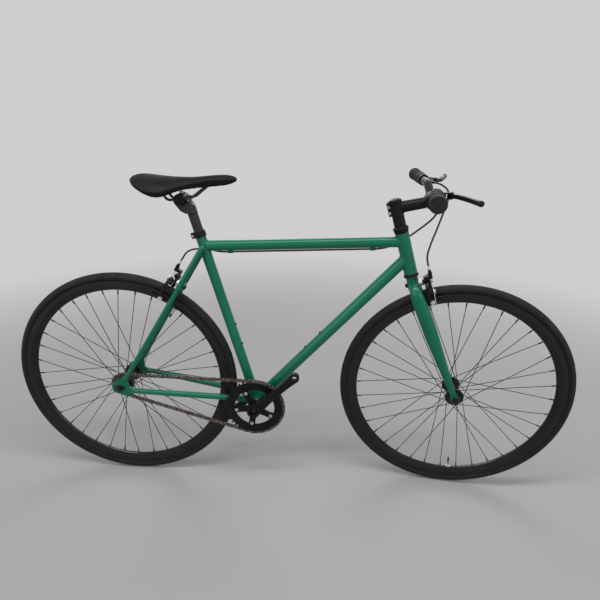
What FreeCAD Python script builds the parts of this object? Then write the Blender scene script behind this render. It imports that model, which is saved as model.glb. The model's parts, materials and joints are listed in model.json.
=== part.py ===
import FreeCAD
import Part
import math
import os

os.makedirs("parts", exist_ok=True)

# A fixed gear bicycle in millimetres. X points forward, Y to the rider's left and Z up.
# The origin is on the floor, midway between the two axles.

# Overall layout
WHEELBASE = 992.6
WHEEL_R = 338.0
BB_DROP = 62.6
SEAT_ANGLE = 74.1
HEAD_ANGLE = 72.5
FORK_RAKE = 44.0
STEER_REST_ANGLE = -6.5
CRANK_REST_ANGLE = 44.7

# Clearances shared by all pieces
OVERRUN = 5.0
RUNNING_GAP = 0.4
BEARING_FIT = 0.08

# Head tube and headset, heights along the steering axis above the front axle's level
CROWN_TOP_UP = 385.0
CROWN_RACE = 1.2
LOWER_CUP = 8.0
HEAD_TUBE_LENGTH = 116.0
UPPER_CUP = 12.0
HEADSET_COVER = 5.5
SPACER_HEIGHT = 32.0
HEAD_TUBE_R = 18.25
HEAD_TUBE_WALL = 1.25
CUP_R = 19.6
CUP_SKIRT = 12.0
STEERER_R = 14.3
STEERER_WALL = 1.8
HEADSET_BEARING = 5.0
SPACER_R = 15.8

# Main tubes
TOP_TUBE_R = 14.3
DOWN_TUBE_R = 15.9
SEAT_TUBE_R = 14.3
TUBE_WALL = 0.9
SEAT_TUBE_LENGTH = 545.0
TOP_TUBE_DROP_SEAT = 40.0
TOP_TUBE_DROP_HEAD = 26.0
DOWN_TUBE_RISE = 45.0
SEAT_SLOT_WIDTH = 2.4
SEAT_SLOT_LENGTH = 34.0

# Bottom bracket
BB_SHELL_R = 20.0
BB_SHELL_WIDTH = 68.0
BB_CUP_R = 17.0
BB_CUP_FLANGE_R = 18.6
BB_CUP_FLANGE = 3.0
BB_CUP_LENGTH = 20.0
SPINDLE_R = 8.5
SPINDLE_LENGTH = 118.0
SPINDLE_SQUARE = 11.6

# Rear stays and track ends, places measured from the bottom bracket or the rear axle
CHAINSTAY_RISE = 12.0
CHAINSTAY_ROOT_Y = 20.0
CHAINSTAY_KNEE_BACK = 105.0
CHAINSTAY_KNEE_Y = 30.0
CHAINSTAY_R = 9.2
CHAINSTAY_BEND_R = 120.0
CHAINSTAY_WAIST_SHARE = 0.3
CHAINSTAY_TIP_R = 7.6
CHAINSTAY_TIP_AHEAD = 36.0
CHAINSTAY_TIP_DROP = 10.0
SEATSTAY_R = 8.0
SEATSTAY_TIP_R = 6.6
SEATSTAY_TIP_AHEAD = 17.0
SEATSTAY_TIP_RISE = 27.0
SEATSTAY_DROP = 42.0
STAY_BRIDGE_R = 6.0
STAY_BRIDGE_BACK = 42.0
BRAKE_BRIDGE_R = 7.5
BRAKE_BRIDGE_ALONG = 358.0
DROPOUT_THICKNESS = 6.0
REAR_HUB_SPACING = 120.0
FRONT_HUB_SPACING = 100.0
DROPOUT_FRONT = 46.0
DROPOUT_TOP = 40.0
DROPOUT_REAR = 25.0
DROPOUT_BOTTOM = 26.0
SLOT_FRONT = 14.0

# Bottle bolts and cable guides
BOTTLE_SPACING = 64.0
BOTTLE_DOWN_TUBE_ALONG = 239.0
BOTTLE_SEAT_TUBE_ALONG = 196.0
BOTTLE_BOLT_R = 4.2
BOTTLE_BOLT_HEIGHT = 2.6
GUIDE_REAR_ALONG = 66.0
GUIDE_FRONT_BACK = 89.4
GUIDE_LENGTH = 14.0
GUIDE_WALL = 1.6

# Seat collar and seatpost
COLLAR_WALL = 2.6
COLLAR_HEIGHT = 16.0
COLLAR_LIP = 2.0
COLLAR_EAR = 9.0
COLLAR_EAR_WIDTH = 11.0
COLLAR_BOLT_R = 2.6
COLLAR_BOLT_HEAD_R = 4.4
COLLAR_BOLT_HEAD = 5.0
POST_R = 13.6
POST_WALL = 2.2
POST_INSERTION = 130.0
POST_EXPOSED = 66.0
POST_HEAD_WIDTH = 34.0
POST_HEAD_FRONT = 40.0
POST_HEAD_REAR = 20.0
POST_HEAD_DROP = 39.0

# Saddle, rails and rail clamp, places measured from the tilt axis
SADDLE_TILT_BACK = 23.0
SADDLE_TILT_RISE = 26.0
SADDLE_LENGTH = 285.0
SADDLE_HALF_WIDTH = 73.0
SADDLE_DEPTH = 52.0
SADDLE_TAIL_BACK = 136.0
SADDLE_BASE_RISE = 10.0
SADDLE_EDGE = 6.0
RAIL_R = 3.5
RAIL_HALF_SPACING = 22.0
RAIL_NOSE_Y = 9.0
RAIL_NOSE_AHEAD = 77.0
RAIL_FRONT_AHEAD = 32.0
RAIL_REAR_BACK = 32.0
RAIL_TAIL_BACK = 58.0
RAIL_END_RISE = 38.0
RAIL_BEND_R = 16.0
CRADLE_R = 16.0
CLAMP_WIDTH = 54.0
CLAMP_TOP = 14.0
JAW_GAP = 1.0
CLAMP_BOLT_R = 3.0
CLAMP_BOLT_HEAD_R = 5.0
CLAMP_BOLT_HEAD = 5.0
CLAMP_SEAT_R = 31.0
CLAMP_SLOT_LENGTH = 17.0

# Wheels
TYRE_STAND = 21.5
RIM_WELL = 10.5
RIM_FLOOR = 4.0
RIM_VEE = 15.5
RIM_WIDTH = 22.0
RIM_CROWN_WIDTH = 9.0
RIM_WALL = 1.5
TYRE_WIDTH = 28.0
TYRE_WALL = 2.6
BEAD_GAP = 0.5
TUBE_SKIN = 1.0
FRONT_VALVE_ANGLE = -85.0
REAR_VALVE_ANGLE = 55.0
TUBE_AIR_SHARE = 0.84
VALVE_R = 3.0
VALVE_BORE = 1.2
VALVE_LENGTH = 34.0
SPOKE_COUNT = 36
SPOKE_CROSSES = 3
SPOKE_R = 1.0
SPOKE_HEAD_R = 1.9
SPOKE_HEAD = 1.2
NIPPLE_R = 2.0
NIPPLE_LENGTH = 12.0
SPOKE_RIM_OFFSET = 1.6
SPOKE_LEAN_ROOM = 0.9

# Hubs and axles
FLANGE_R = 26.5
FLANGE_THICKNESS = 3.0
FLANGE_HOLE_CIRCLE_R = 23.2
FRONT_FLANGE_Y = 34.0
REAR_FLANGE_Y = 31.0
HUB_SHELL_R = 15.5
HUB_WAIST_R = 12.0
HUB_BEARING_R = 11.0
HUB_BEARING = 8.0
COG_THREAD_R = 17.4
AXLE_R = 5.0
AXLE_REAR_LENGTH = 160.0
AXLE_FRONT_LENGTH = 136.0
CONE_R = 8.5
CONE_LENGTH = 7.0
NUT_FLATS = 15.0
NUT_HEIGHT = 9.0
NUT_WASHER_R = 11.0
NUT_WASHER = 2.0

# Chain, cog and chainring
CHAIN_PITCH = 12.7
CHAIN_LINKS = 94
RING_TEETH = 44
COG_TEETH = 16
CHAINLINE = 43.0
SPROCKET_THICKNESS = 2.6
SPROCKET_SIDE_GAP = 0.5
ROLLER_R = 3.87
ROLLER_SEAT_GAP = 0.2
TOOTH_ADDENDUM = 3.8
TOOTH_TIP = 2.2
SEAT_HALF_SWEEP = 75.0
PLATE_THICKNESS = 1.2
PLATE_GAP = 0.15
PLATE_END_R = 4.1
PLATE_WAIST = 2.9
PLATE_END_SWEEP = 110.0
PIN_R = 1.8
PIN_HEAD = 0.5
RING_INNER_R = 60.0
RING_BOLT_CIRCLE_R = 55.0
RING_TAB_R = 10.0
RING_BOLT_R = 4.0
RING_BOLT_HEAD_R = 5.2
RING_BOLT_HEAD = 1.6
LOCKRING_R = 20.5
LOCKRING_WIDTH = 4.0

# Cranks
CRANK_LENGTH = 170.0
CRANK_BOSS_R = 19.0
CRANK_EYE_R = 14.0
CRANK_THICKNESS = 13.0
CRANK_OUTER_Y = 72.0
CRANK_WAIST = 11.0
PEDAL_THREAD_R = 7.14
SPIDER_ARMS = 5
SPIDER_THICKNESS = 4.0
SPIDER_ROOT_WIDTH = 25.0
SPIDER_TIP_WIDTH = 17.0
CRANK_BOLT_R = 4.0
CRANK_BOLT_HEAD_R = 7.0
CRANK_BOLT_HEAD = 6.0
CRANK_POCKET_R = 11.0

# Fork, measured in the steering frame
CROWN_UP = 360.0
CROWN_SLEEVE_R = 16.0
CROWN_BEND_R = 30.0
CROWN_ROOT = 7.0
BLADE_ROOT_HALF = 12.8
BLADE_HALF_BREADTH = 18.6
BLADE_HALF_DEPTH = 12.0
BLADE_WAIST_SHARE = 0.4
BLADE_TIP_HALF = 8.6
BLADE_TIP_R = 7.5
BLADE_TIP_BACK = 3.0
BLADE_TIP_UP = 24.0
FORK_DROPOUT_THICKNESS = 5.0
FORK_DROPOUT_R = 13.0
FORK_DROPOUT_TAB = 34.0

# Stem, handlebar and grips
STEM_HEIGHT = 36.4
STEM_CLAMP_R = 18.0
STEM_ARM_ROOT_R = 15.5
STEM_REACH = 94.0
STEM_ARM_R = 14.5
STEM_ARM_DROP = 6.0
STEM_SPLIT = 2.0
STEM_EAR = 9.0
STEM_EAR_WIDTH = 16.0
STEM_BOLT_R = 2.5
STEM_BOLT_HEAD_R = 4.2
STEM_BOLT_HEAD = 5.0
STEM_BOLT_SPACING = 16.0
CAP_HEIGHT = 6.0
CAP_R = 17.0
BAR_CLAMP_R = 15.9
BAR_CLAMP_WALL = 6.0
BAR_CLAMP_WIDTH = 44.0
FACEPLATE_GAP = 1.2
FACEPLATE_BOLT_ACROSS = 32.0
FACEPLATE_BOLT_RISE = 19.0
BAR_R = 11.1
BAR_WALL = 2.2
BAR_BULGE = 22.0
BAR_BULGE_TAPER = 8.0
BAR_KNEE_Y = 36.0
BAR_SHOULDER_Y = 90.0
BAR_RISE = 34.0
BAR_SHOULDER_AHEAD = 2.0
BAR_HALF_WIDTH = 288.0
BAR_END_RISE = 9.0
BAR_END_BACK = 17.0
BAR_BEND_R = 48.0
GRIP_R = 16.5
GRIP_FLANGE_R = 18.3
GRIP_FLANGE = 8.0
GRIP_LENGTH = 120.0
GRIP_END = 4.0
GRIP_ROUND = 2.0

# Brake levers, measured along the bar, ahead of it and above it
LEVER_CLAMP_Y = 150.0
LEVER_CLAMP_WIDTH = 14.0
LEVER_CLAMP_WALL = 4.5
LEVER_PIVOT_INBOARD = 12.0
LEVER_PIVOT_AHEAD = 30.0
LEVER_PIN_R = 2.5
LEVER_BOSS_R = 7.0
LEVER_CHEEK = 3.0
LEVER_BLADE = 9.0
LEVER_REACH = 83.0
LEVER_SPAN = 109.0
LEVER_WIDTH = 10.0
LEVER_TIP_R = 6.5
ADJUSTER_R = 4.5
ADJUSTER_LENGTH = 14.0
ADJUSTER_AHEAD = 17.0

# Brake calipers, measured across the rim, up from the mount bolt and out from the frame
CALIPER_BOLT_R = 3.0
CALIPER_SPACER = 9.0
CALIPER_SPACER_R = 9.0
CALIPER_BRACKET = 4.0
CALIPER_ARM = 8.6
CALIPER_NUT_R = 6.0
CALIPER_NUT = 5.0
CALIPER_BACK_NUT = 6.0
CALIPER_REACH = 51.0
CALIPER_PIVOT_ACROSS = 22.0
CALIPER_PIVOT_RISE = 8.0
CALIPER_BOSS_R = 7.5
CALIPER_HALF_SPAN = 42.0
CALIPER_ARM_WIDTH = 12.0
CALIPER_TIP_SHARE = 0.9
CALIPER_TAIL_RISE = 20.0
CALIPER_TAIL_DROP = 24.0
CALIPER_CABLE_ACROSS = 31.0
CALIPER_CABLE_OUT = 32.3
PAD_GAP = 1.5
PAD_THICKNESS = 8.0
PAD_HEIGHT = 10.0
PAD_LENGTH = 50.0
PAD_FORWARD = 6.0
PAD_HOLDER = 3.0
PAD_BOLT_R = 3.0
PAD_BOLT_HEAD_R = 5.5
PAD_BOLT_HEAD = 5.0
PAD_BOSS_R = 6.5
BARREL_R = 4.5
BARREL_FLANGE_R = 6.0
BARREL_TIP_R = 3.6
BARREL_LENGTH = 16.0
CABLE_R = 0.8
CABLE_PLAY = 1.2
CABLE_TAIL = 70.0
CABLE_CAP_R = 1.6
CABLE_CAP = 10.0
CABLE_ROOM = 2.2
PINCH_R = 5.0

# Brake cable housing
HOUSING_R = 2.5
HOUSING_END_GAP = 0.6
FERRULE_R = 3.0
FERRULE_LENGTH = 10.0


V = FreeCAD.Vector
ORIGIN = V(0, 0, 0)
ACROSS = V(0, 1, 0)
LIFT = V(0, 0, 1)


def rod(start, end, radius):
    """A round bar from one point to another."""
    return Part.makeCylinder(radius, (end - start).Length, start, end - start)


def taper(start, end, start_radius, end_radius):
    """A round bar whose radius changes along its length."""
    return Part.makeCone(start_radius, end_radius, (end - start).Length, start, end - start)


def tube(start, end, radius, bore):
    """A pipe that is open at both ends."""
    way = (end - start).normalize()
    return rod(start, end, radius).cut(rod(start - way * OVERRUN, end + way * OVERRUN, bore))


def outline(start, *steps):
    """A closed wire. A point is reached by a line, a pair (middle, end) by an arc."""
    edges = []
    here = start
    for step in steps:
        if isinstance(step, tuple):
            edges.append(Part.Arc(here, step[0], step[1]).toShape())
            here = step[1]
        else:
            edges.append(Part.LineSegment(here, step).toShape())
            here = step
    return Part.Wire(edges)


def slab(wire, thickness):
    """The face inside a wire, pushed along a vector."""
    return Part.Face(wire).extrude(thickness)


def placed(shape, origin, x_axis, y_axis):
    """A shape made about the origin, moved to a place with its own axes."""
    turn = FreeCAD.Rotation(x_axis, y_axis, x_axis.cross(y_axis), "XYZ")
    copy = shape.copy()
    copy.Placement = FreeCAD.Placement(origin, turn).multiply(copy.Placement)
    return copy


def turned(profile, origin, axis):
    """A solid of revolution. The profile holds (radius, distance along the axis) pairs."""
    points = [V(radius, 0, along) for radius, along in profile]
    wire = Part.makePolygon(points + points[:1])
    shape = Part.Face(wire).revolve(ORIGIN, LIFT, 360)
    shape.Placement = FreeCAD.Placement(origin, FreeCAD.Rotation(LIFT, axis))
    return shape


def hexagon(origin, axis, flats, height):
    """A six-sided prism of a given size across its flats."""
    corner = flats / 2 / math.cos(math.pi / 6)
    points = [V(corner * math.cos(math.pi / 3 * side), corner * math.sin(math.pi / 3 * side), 0)
              for side in range(6)]
    shape = slab(Part.makePolygon(points + points[:1]), V(0, 0, height))
    shape.Placement = FreeCAD.Placement(origin, FreeCAD.Rotation(LIFT, axis))
    return shape


def mirrored(shape):
    """The same piece on the other side of the bicycle."""
    return shape.mirror(ORIGIN, ACROSS)


def bent_path(points, radii):
    """Straight runs joined by tangent arcs, one radius for each inner point."""
    edges = []
    here = points[0]
    for before, corner, after, radius in zip(points, points[1:], points[2:], radii):
        back = (before - corner).normalize()
        ahead = (after - corner).normalize()
        half = back.getAngle(ahead) / 2
        trim = radius / math.tan(half)
        middle = corner + (back + ahead).normalize() * (radius / math.sin(half) - radius)
        edges.append(Part.LineSegment(here, corner + back * trim).toShape())
        here = corner + ahead * trim
        edges.append(Part.Arc(corner + back * trim, middle, here).toShape())
    edges.append(Part.LineSegment(here, points[-1]).toShape())
    return Part.Wire(edges)


def pipe(path, radius):
    """A solid round bar along a path."""
    start = path.Edges[0]
    way = start.tangentAt(start.FirstParameter)
    ring = Part.Wire(Part.makeCircle(radius, start.valueAt(start.FirstParameter), way))
    return path.makePipeShell([ring], True, False)


def group(shapes):
    """Separate solids that share one node."""
    return Part.makeCompound(list(shapes))


def polar(radius, degrees):
    """A point on a wheel's plane, from its centre."""
    return V(radius * math.cos(math.radians(degrees)), 0, radius * math.sin(math.radians(degrees)))


# Chain line: rollers step one pitch at a time round both pitch circles
RING_PITCH_R = CHAIN_PITCH / 2 / math.sin(math.pi / RING_TEETH)
COG_PITCH_R = CHAIN_PITCH / 2 / math.sin(math.pi / COG_TEETH)


def chain_point(centres, distance):
    """A point of the chain's path, cog at the origin and ring along +X, at a distance along it."""
    lean = math.asin((RING_PITCH_R - COG_PITCH_R) / centres)
    straight = centres * math.cos(lean)
    ring_arc = RING_PITCH_R * (math.pi + 2 * lean)
    cog_arc = COG_PITCH_R * (math.pi - 2 * lean)
    distance = distance % (2 * straight + ring_arc + cog_arc)
    top = math.pi / 2 + lean
    if distance < straight:
        share = distance / straight
        reach = COG_PITCH_R + (RING_PITCH_R - COG_PITCH_R) * share
        return V(centres * share + reach * math.cos(top), 0, reach * math.sin(top))
    distance -= straight
    if distance < ring_arc:
        angle = top - distance / RING_PITCH_R
        return V(centres + RING_PITCH_R * math.cos(angle), 0, RING_PITCH_R * math.sin(angle))
    distance -= ring_arc
    if distance < straight:
        share = 1 - distance / straight
        reach = COG_PITCH_R + (RING_PITCH_R - COG_PITCH_R) * share
        return V(centres * share + reach * math.cos(top), 0, -reach * math.sin(top))
    angle = -top - (distance - straight) / COG_PITCH_R
    return V(COG_PITCH_R * math.cos(angle), 0, COG_PITCH_R * math.sin(angle))


def chain_rollers(centres):
    """Roller centres for one centre distance, and the length left over at the end of the loop."""
    lean = math.asin((RING_PITCH_R - COG_PITCH_R) / centres)
    loop = 2 * centres * math.cos(lean)
    loop += RING_PITCH_R * (math.pi + 2 * lean) + COG_PITCH_R * (math.pi - 2 * lean)
    distance = 0
    rollers = []
    for _ in range(CHAIN_LINKS):
        here = chain_point(centres, distance)
        rollers.append(here)
        low = distance + CHAIN_PITCH
        high = low + CHAIN_PITCH / 2
        for _ in range(30):
            middle = (low + high) / 2
            if (chain_point(centres, middle) - here).Length < CHAIN_PITCH:
                low = middle
            else:
                high = middle
        distance = low
    return rollers, loop - distance


def chain_layout():
    """The centre distance at which the chain closes, with its roller centres."""
    spare = 2 * CHAIN_LINKS - RING_TEETH - COG_TEETH
    guess = CHAIN_PITCH / 8 * (spare + math.sqrt(spare**2 - 8 / math.pi**2 * (RING_TEETH - COG_TEETH)**2))
    low = guess - CHAIN_PITCH / 2
    high = guess + CHAIN_PITCH / 2
    for _ in range(24):
        middle = (low + high) / 2
        if chain_rollers(middle)[1] < 0:
            low = middle
        else:
            high = middle
    return middle, chain_rollers(middle)[0]


centre_distance, rollers = chain_layout()
print("chain centre distance", round(centre_distance, 3))

rear_axle = V(-WHEELBASE / 2, 0, WHEEL_R)
front_axle = V(WHEELBASE / 2, 0, WHEEL_R)
bottom_bracket = rear_axle + V(math.sqrt(centre_distance**2 - BB_DROP**2), 0, -BB_DROP)
seat_up = V(-math.cos(math.radians(SEAT_ANGLE)), 0, math.sin(math.radians(SEAT_ANGLE)))
seat_ahead = V(seat_up.z, 0, -seat_up.x)
steer_up = V(-math.cos(math.radians(HEAD_ANGLE)), 0, math.sin(math.radians(HEAD_ANGLE)))
steer_ahead = V(steer_up.z, 0, -steer_up.x)
steer_base = front_axle - steer_ahead * FORK_RAKE


def steer(ahead, left, up):
    """A point in the steering frame, with the wheel pointing straight ahead."""
    return steer_base + steer_ahead * ahead + ACROSS * left + steer_up * up


head_bottom_up = CROWN_TOP_UP + CROWN_RACE + RUNNING_GAP + LOWER_CUP
head_top_up = head_bottom_up + HEAD_TUBE_LENGTH
cup_top_up = head_top_up + UPPER_CUP
cover_top_up = cup_top_up + RUNNING_GAP + HEADSET_COVER
stem_bottom_up = cover_top_up + SPACER_HEIGHT
stem_top_up = stem_bottom_up + STEM_HEIGHT
rim_edge_r = WHEEL_R - TYRE_STAND
rim_bed_r = rim_edge_r - RIM_WELL
rim_track_r = rim_bed_r - RIM_FLOOR
rim_inner_r = rim_track_r - RIM_VEE
tyre_centre_r = WHEEL_R - TYRE_WIDTH / 2
bar_up = stem_bottom_up + STEM_HEIGHT / 2 - STEM_ARM_DROP
seat_top = bottom_bracket + seat_up * SEAT_TUBE_LENGTH

parts = {}

# Head tube: a bored tube that takes a bearing cup at each end
head_tube_rod = rod(steer(0, 0, head_bottom_up), steer(0, 0, head_top_up), HEAD_TUBE_R)
cup_seat_r = HEAD_TUBE_R - HEAD_TUBE_WALL
parts["head_tube"] = tube(steer(0, 0, head_bottom_up), steer(0, 0, head_top_up),
                          HEAD_TUBE_R, cup_seat_r)


# Headset: a skirted cup pressed into each end of the head tube, with a bearing ring in it
def headset_cup(face_up, away, height, flare):
    cup_bore = STEERER_R + HEADSET_BEARING
    skirt_bore = STEERER_R + HEAD_TUBE_WALL
    cup = turned([(skirt_bore, -CUP_SKIRT), (cup_seat_r, -CUP_SKIRT), (cup_seat_r, 0),
                  (HEAD_TUBE_R, 0), (flare, height), (cup_bore, height),
                  (cup_bore, height - HEADSET_BEARING), (skirt_bore, height - HEADSET_BEARING)],
                 steer(0, 0, face_up), steer_up * away)
    bearing = turned([(STEERER_R + BEARING_FIT, height - HEADSET_BEARING),
                      (cup_bore, height - HEADSET_BEARING), (cup_bore, height),
                      (STEERER_R + BEARING_FIT, height)],
                     steer(0, 0, face_up), steer_up * away)
    return [cup, bearing]


flare_r = CUP_R + HEAD_TUBE_WALL
parts["headset_cups"] = group(headset_cup(head_bottom_up, -1, LOWER_CUP, flare_r)
                              + headset_cup(head_top_up, 1, UPPER_CUP, flare_r))

# Seat tube: bored for the post, slotted at the back of its top end
post_bore = POST_R + BEARING_FIT
seat_tube_rod = rod(bottom_bracket, seat_top, SEAT_TUBE_R)
slot = Part.makeBox(SEAT_TUBE_R + OVERRUN, SEAT_SLOT_WIDTH, SEAT_SLOT_LENGTH + OVERRUN,
                    V(-SEAT_TUBE_R - OVERRUN, -SEAT_SLOT_WIDTH / 2, -SEAT_SLOT_LENGTH))
slot = placed(slot, seat_top, seat_ahead, ACROSS)
bb_left = bottom_bracket + ACROSS * (BB_SHELL_WIDTH / 2)
bb_right = bottom_bracket - ACROSS * (BB_SHELL_WIDTH / 2)
bb_rod = rod(bb_left, bb_right, BB_SHELL_R)
parts["seat_tube"] = tube(bottom_bracket, seat_top, SEAT_TUBE_R, post_bore).cut(bb_rod).cut(slot)

# Bottom bracket shell, its two screwed cups and their bearings
parts["bottom_bracket_shell"] = tube(bb_left, bb_right, BB_SHELL_R, BB_CUP_R)


def bracket_cup(face, out):
    cup = turned([(SPINDLE_R + HEADSET_BEARING, -BB_CUP_LENGTH), (BB_CUP_R, -BB_CUP_LENGTH),
                  (BB_CUP_R, 0), (BB_CUP_FLANGE_R, 0), (BB_CUP_FLANGE_R, BB_CUP_FLANGE),
                  (SPINDLE_R + HEADSET_BEARING, BB_CUP_FLANGE)], face, out)
    bearing = turned([(SPINDLE_R + BEARING_FIT, -BB_CUP_LENGTH),
                      (SPINDLE_R + HEADSET_BEARING, -BB_CUP_LENGTH),
                      (SPINDLE_R + HEADSET_BEARING, 0), (SPINDLE_R + BEARING_FIT, 0)], face, out)
    return [cup, bearing]


parts["bottom_bracket_cups"] = group(bracket_cup(bb_left, ACROSS) + bracket_cup(bb_right, ACROSS * -1))

# Top tube and down tube: pipes mitred to the tubes that they meet
top_tube_rear = seat_top - seat_up * TOP_TUBE_DROP_SEAT
top_tube_front = steer(0, 0, head_top_up - TOP_TUBE_DROP_HEAD)
down_tube_front = steer(0, 0, head_bottom_up + DOWN_TUBE_RISE)
top_tube_way = (top_tube_front - top_tube_rear).normalize()
down_tube_way = (down_tube_front - bottom_bracket).normalize()
top_tube = tube(top_tube_rear, top_tube_front, TOP_TUBE_R, TOP_TUBE_R - TUBE_WALL)
top_tube = top_tube.cut(head_tube_rod).cut(seat_tube_rod)
down_tube = tube(bottom_bracket, down_tube_front, DOWN_TUBE_R, DOWN_TUBE_R - TUBE_WALL)
down_tube_rod = rod(bottom_bracket, down_tube_front, DOWN_TUBE_R)
parts["down_tube"] = down_tube.cut(head_tube_rod).cut(bb_rod).cut(seat_tube_rod)

# Cable guides: two short sleeves brazed under the top tube
guide_bore = HOUSING_R + RUNNING_GAP
guide_r = guide_bore + GUIDE_WALL
top_tube_under = V(top_tube_way.z, 0, -top_tube_way.x)
guide_drop = TOP_TUBE_R + guide_r - GUIDE_WALL / 2
guide_line = top_tube_under * guide_drop
guide_places = [top_tube_rear + top_tube_way * GUIDE_REAR_ALONG + guide_line,
                top_tube_front - top_tube_way * GUIDE_FRONT_BACK + guide_line]
top_tube_rod = rod(top_tube_rear, top_tube_front, TOP_TUBE_R)
guides = [tube(place, place + top_tube_way * GUIDE_LENGTH, guide_r, guide_bore).cut(top_tube_rod)
          for place in guide_places]
parts["top_tube"] = group([top_tube] + guides)

# Bottle bolts: button heads on the down tube's upper side and the seat tube's front side
down_tube_top = V(-down_tube_way.z, 0, down_tube_way.x)
BOTTLE_BOLT_DOME_SHARES = ((1.0, 0.0), (0.85, 0.6), (0.5, 1.0), (0.0, 1.0))


def bottle_bolt(seat, out):
    dome = [(BOTTLE_BOLT_R * wide, BOTTLE_BOLT_HEIGHT * high) for wide, high in BOTTLE_BOLT_DOME_SHARES]
    return turned([(0, 0)] + dome, seat, out)


bolts = []
for step in (0, BOTTLE_SPACING):
    seat = bottom_bracket + down_tube_way * (BOTTLE_DOWN_TUBE_ALONG + step)
    bolts.append(bottle_bolt(seat + down_tube_top * DOWN_TUBE_R, down_tube_top))
    seat = bottom_bracket + seat_up * (BOTTLE_SEAT_TUBE_ALONG + step)
    bolts.append(bottle_bolt(seat + seat_ahead * SEAT_TUBE_R, seat_ahead))
parts["bottle_bolts"] = group(bolts)

# Rear track ends: flat plates with a slot that opens to the rear
dropout_inner = REAR_HUB_SPACING / 2
DROPOUT_OUTLINE_SHARES = [
    ("rear", -1.0, "top", 0.28), ("rear", -0.55, "top", 0.5), ("front", 0.3, "top", 0.95),
    ("front", 0.5, "top", 0.72), ("front", 0.55, "top", 0.1), ("front", 1.0, "bottom", -0.2),
    ("front", 0.85, "bottom", -0.7), ("front", 0.35, "bottom", -1.0), ("rear", -0.1, "bottom", -0.85),
    ("rear", -0.95, "bottom", -0.5),
]
dropout_reach = {"rear": DROPOUT_REAR, "front": DROPOUT_FRONT, "top": DROPOUT_TOP, "bottom": DROPOUT_BOTTOM}
corners = [rear_axle + V(dropout_reach[side] * along, dropout_inner, dropout_reach[level] * rise)
           for side, along, level, rise in DROPOUT_OUTLINE_SHARES]
track_end = slab(Part.makePolygon(corners + corners[:1]), ACROSS * DROPOUT_THICKNESS)
axle_room = AXLE_R + RUNNING_GAP
slot_front = rear_axle + V(SLOT_FRONT - axle_room, dropout_inner - OVERRUN, 0)
slot_depth = ACROSS * (DROPOUT_THICKNESS + OVERRUN * 2)
slot_rear = V(-SLOT_FRONT - DROPOUT_REAR - OVERRUN, 0, 0)
half_slot = V(0, 0, axle_room)
axle_slot = slab(outline(slot_front + half_slot, (slot_front + V(axle_room, 0, 0), slot_front - half_slot),
                         slot_front - half_slot + slot_rear, slot_front + half_slot + slot_rear,
                         slot_front + half_slot), slot_depth)
track_end = track_end.cut(axle_slot)
parts["rear_dropouts"] = group([track_end, mirrored(track_end)])

# Chainstays: a straight run beside the chainring, a knee, then a taper to the track end
stay_y = dropout_inner + DROPOUT_THICKNESS / 2
stay_root = bottom_bracket + V(0, CHAINSTAY_ROOT_Y, CHAINSTAY_RISE)
stay_tip = rear_axle + V(CHAINSTAY_TIP_AHEAD, stay_y, -CHAINSTAY_TIP_DROP)
knee_share = CHAINSTAY_KNEE_BACK / (stay_root.x - stay_tip.x)
stay_knee = V(stay_root.x - CHAINSTAY_KNEE_BACK, CHAINSTAY_KNEE_Y,
              stay_root.z + (stay_tip.z - stay_root.z) * knee_share)
stay_waist = stay_knee + (stay_tip - stay_knee) * CHAINSTAY_WAIST_SHARE
chainstay = pipe(bent_path([stay_root, stay_knee, stay_waist], [CHAINSTAY_BEND_R]), CHAINSTAY_R).multiFuse([
    taper(stay_waist, stay_tip, CHAINSTAY_R, CHAINSTAY_TIP_R), Part.makeSphere(CHAINSTAY_TIP_R, stay_tip)])
chainstay = chainstay.cut(bb_rod).cut(track_end).cut(axle_slot)
bridge_at = V(bottom_bracket.x - STAY_BRIDGE_BACK, 0, stay_root.z)
bridge_half = ACROSS * CHAINSTAY_KNEE_Y
stay_bridge = rod(bridge_at - bridge_half, bridge_at + bridge_half, STAY_BRIDGE_R)
chainstays = [chainstay, mirrored(chainstay)]
parts["chainstays"] = group(chainstays + [stay_bridge.cut(chainstays[0]).cut(chainstays[1])])

# Seatstays: tapered tubes from the track ends to the sides of the seat tube, with the brake bridge
seatstay_top = seat_top - seat_up * SEATSTAY_DROP + ACROSS * (SEAT_TUBE_R + SEATSTAY_R - TUBE_WALL)
seatstay_tip = rear_axle + V(SEATSTAY_TIP_AHEAD, stay_y, SEATSTAY_TIP_RISE)
seatstay = taper(seatstay_tip, seatstay_top, SEATSTAY_TIP_R, SEATSTAY_R).multiFuse([
    Part.makeSphere(SEATSTAY_TIP_R, seatstay_tip), Part.makeSphere(SEATSTAY_R, seatstay_top)])
seatstay = seatstay.cut(seat_tube_rod).cut(track_end).cut(top_tube_rod)
seatstays = [seatstay, mirrored(seatstay)]
stay_foot = V(seatstay_tip.x, 0, seatstay_tip.z)
stay_up = V(seatstay_top.x - seatstay_tip.x, 0, seatstay_top.z - seatstay_tip.z).normalize()
stay_out = V(-stay_up.z, 0, stay_up.x)
along_stay = (rear_axle + stay_up * BRAKE_BRIDGE_ALONG - stay_foot).dot(stay_up)
bridge = stay_foot + stay_up * along_stay
bridge_bore = rod(bridge - stay_out * (BRAKE_BRIDGE_R + OVERRUN),
                  bridge + stay_out * (BRAKE_BRIDGE_R + OVERRUN), CALIPER_BOLT_R)
stay_length = (seatstay_top - seatstay_tip).dot(stay_up)
end_y = seatstay_tip.y + (seatstay_top.y - seatstay_tip.y) * along_stay / stay_length
bridge_rod = rod(bridge - ACROSS * end_y, bridge + ACROSS * end_y, BRAKE_BRIDGE_R)
brake_bridge = bridge_rod.cut(seatstays[0]).cut(seatstays[1]).cut(bridge_bore)
parts["seatstays"] = group(seatstays + [brake_bridge])

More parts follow.
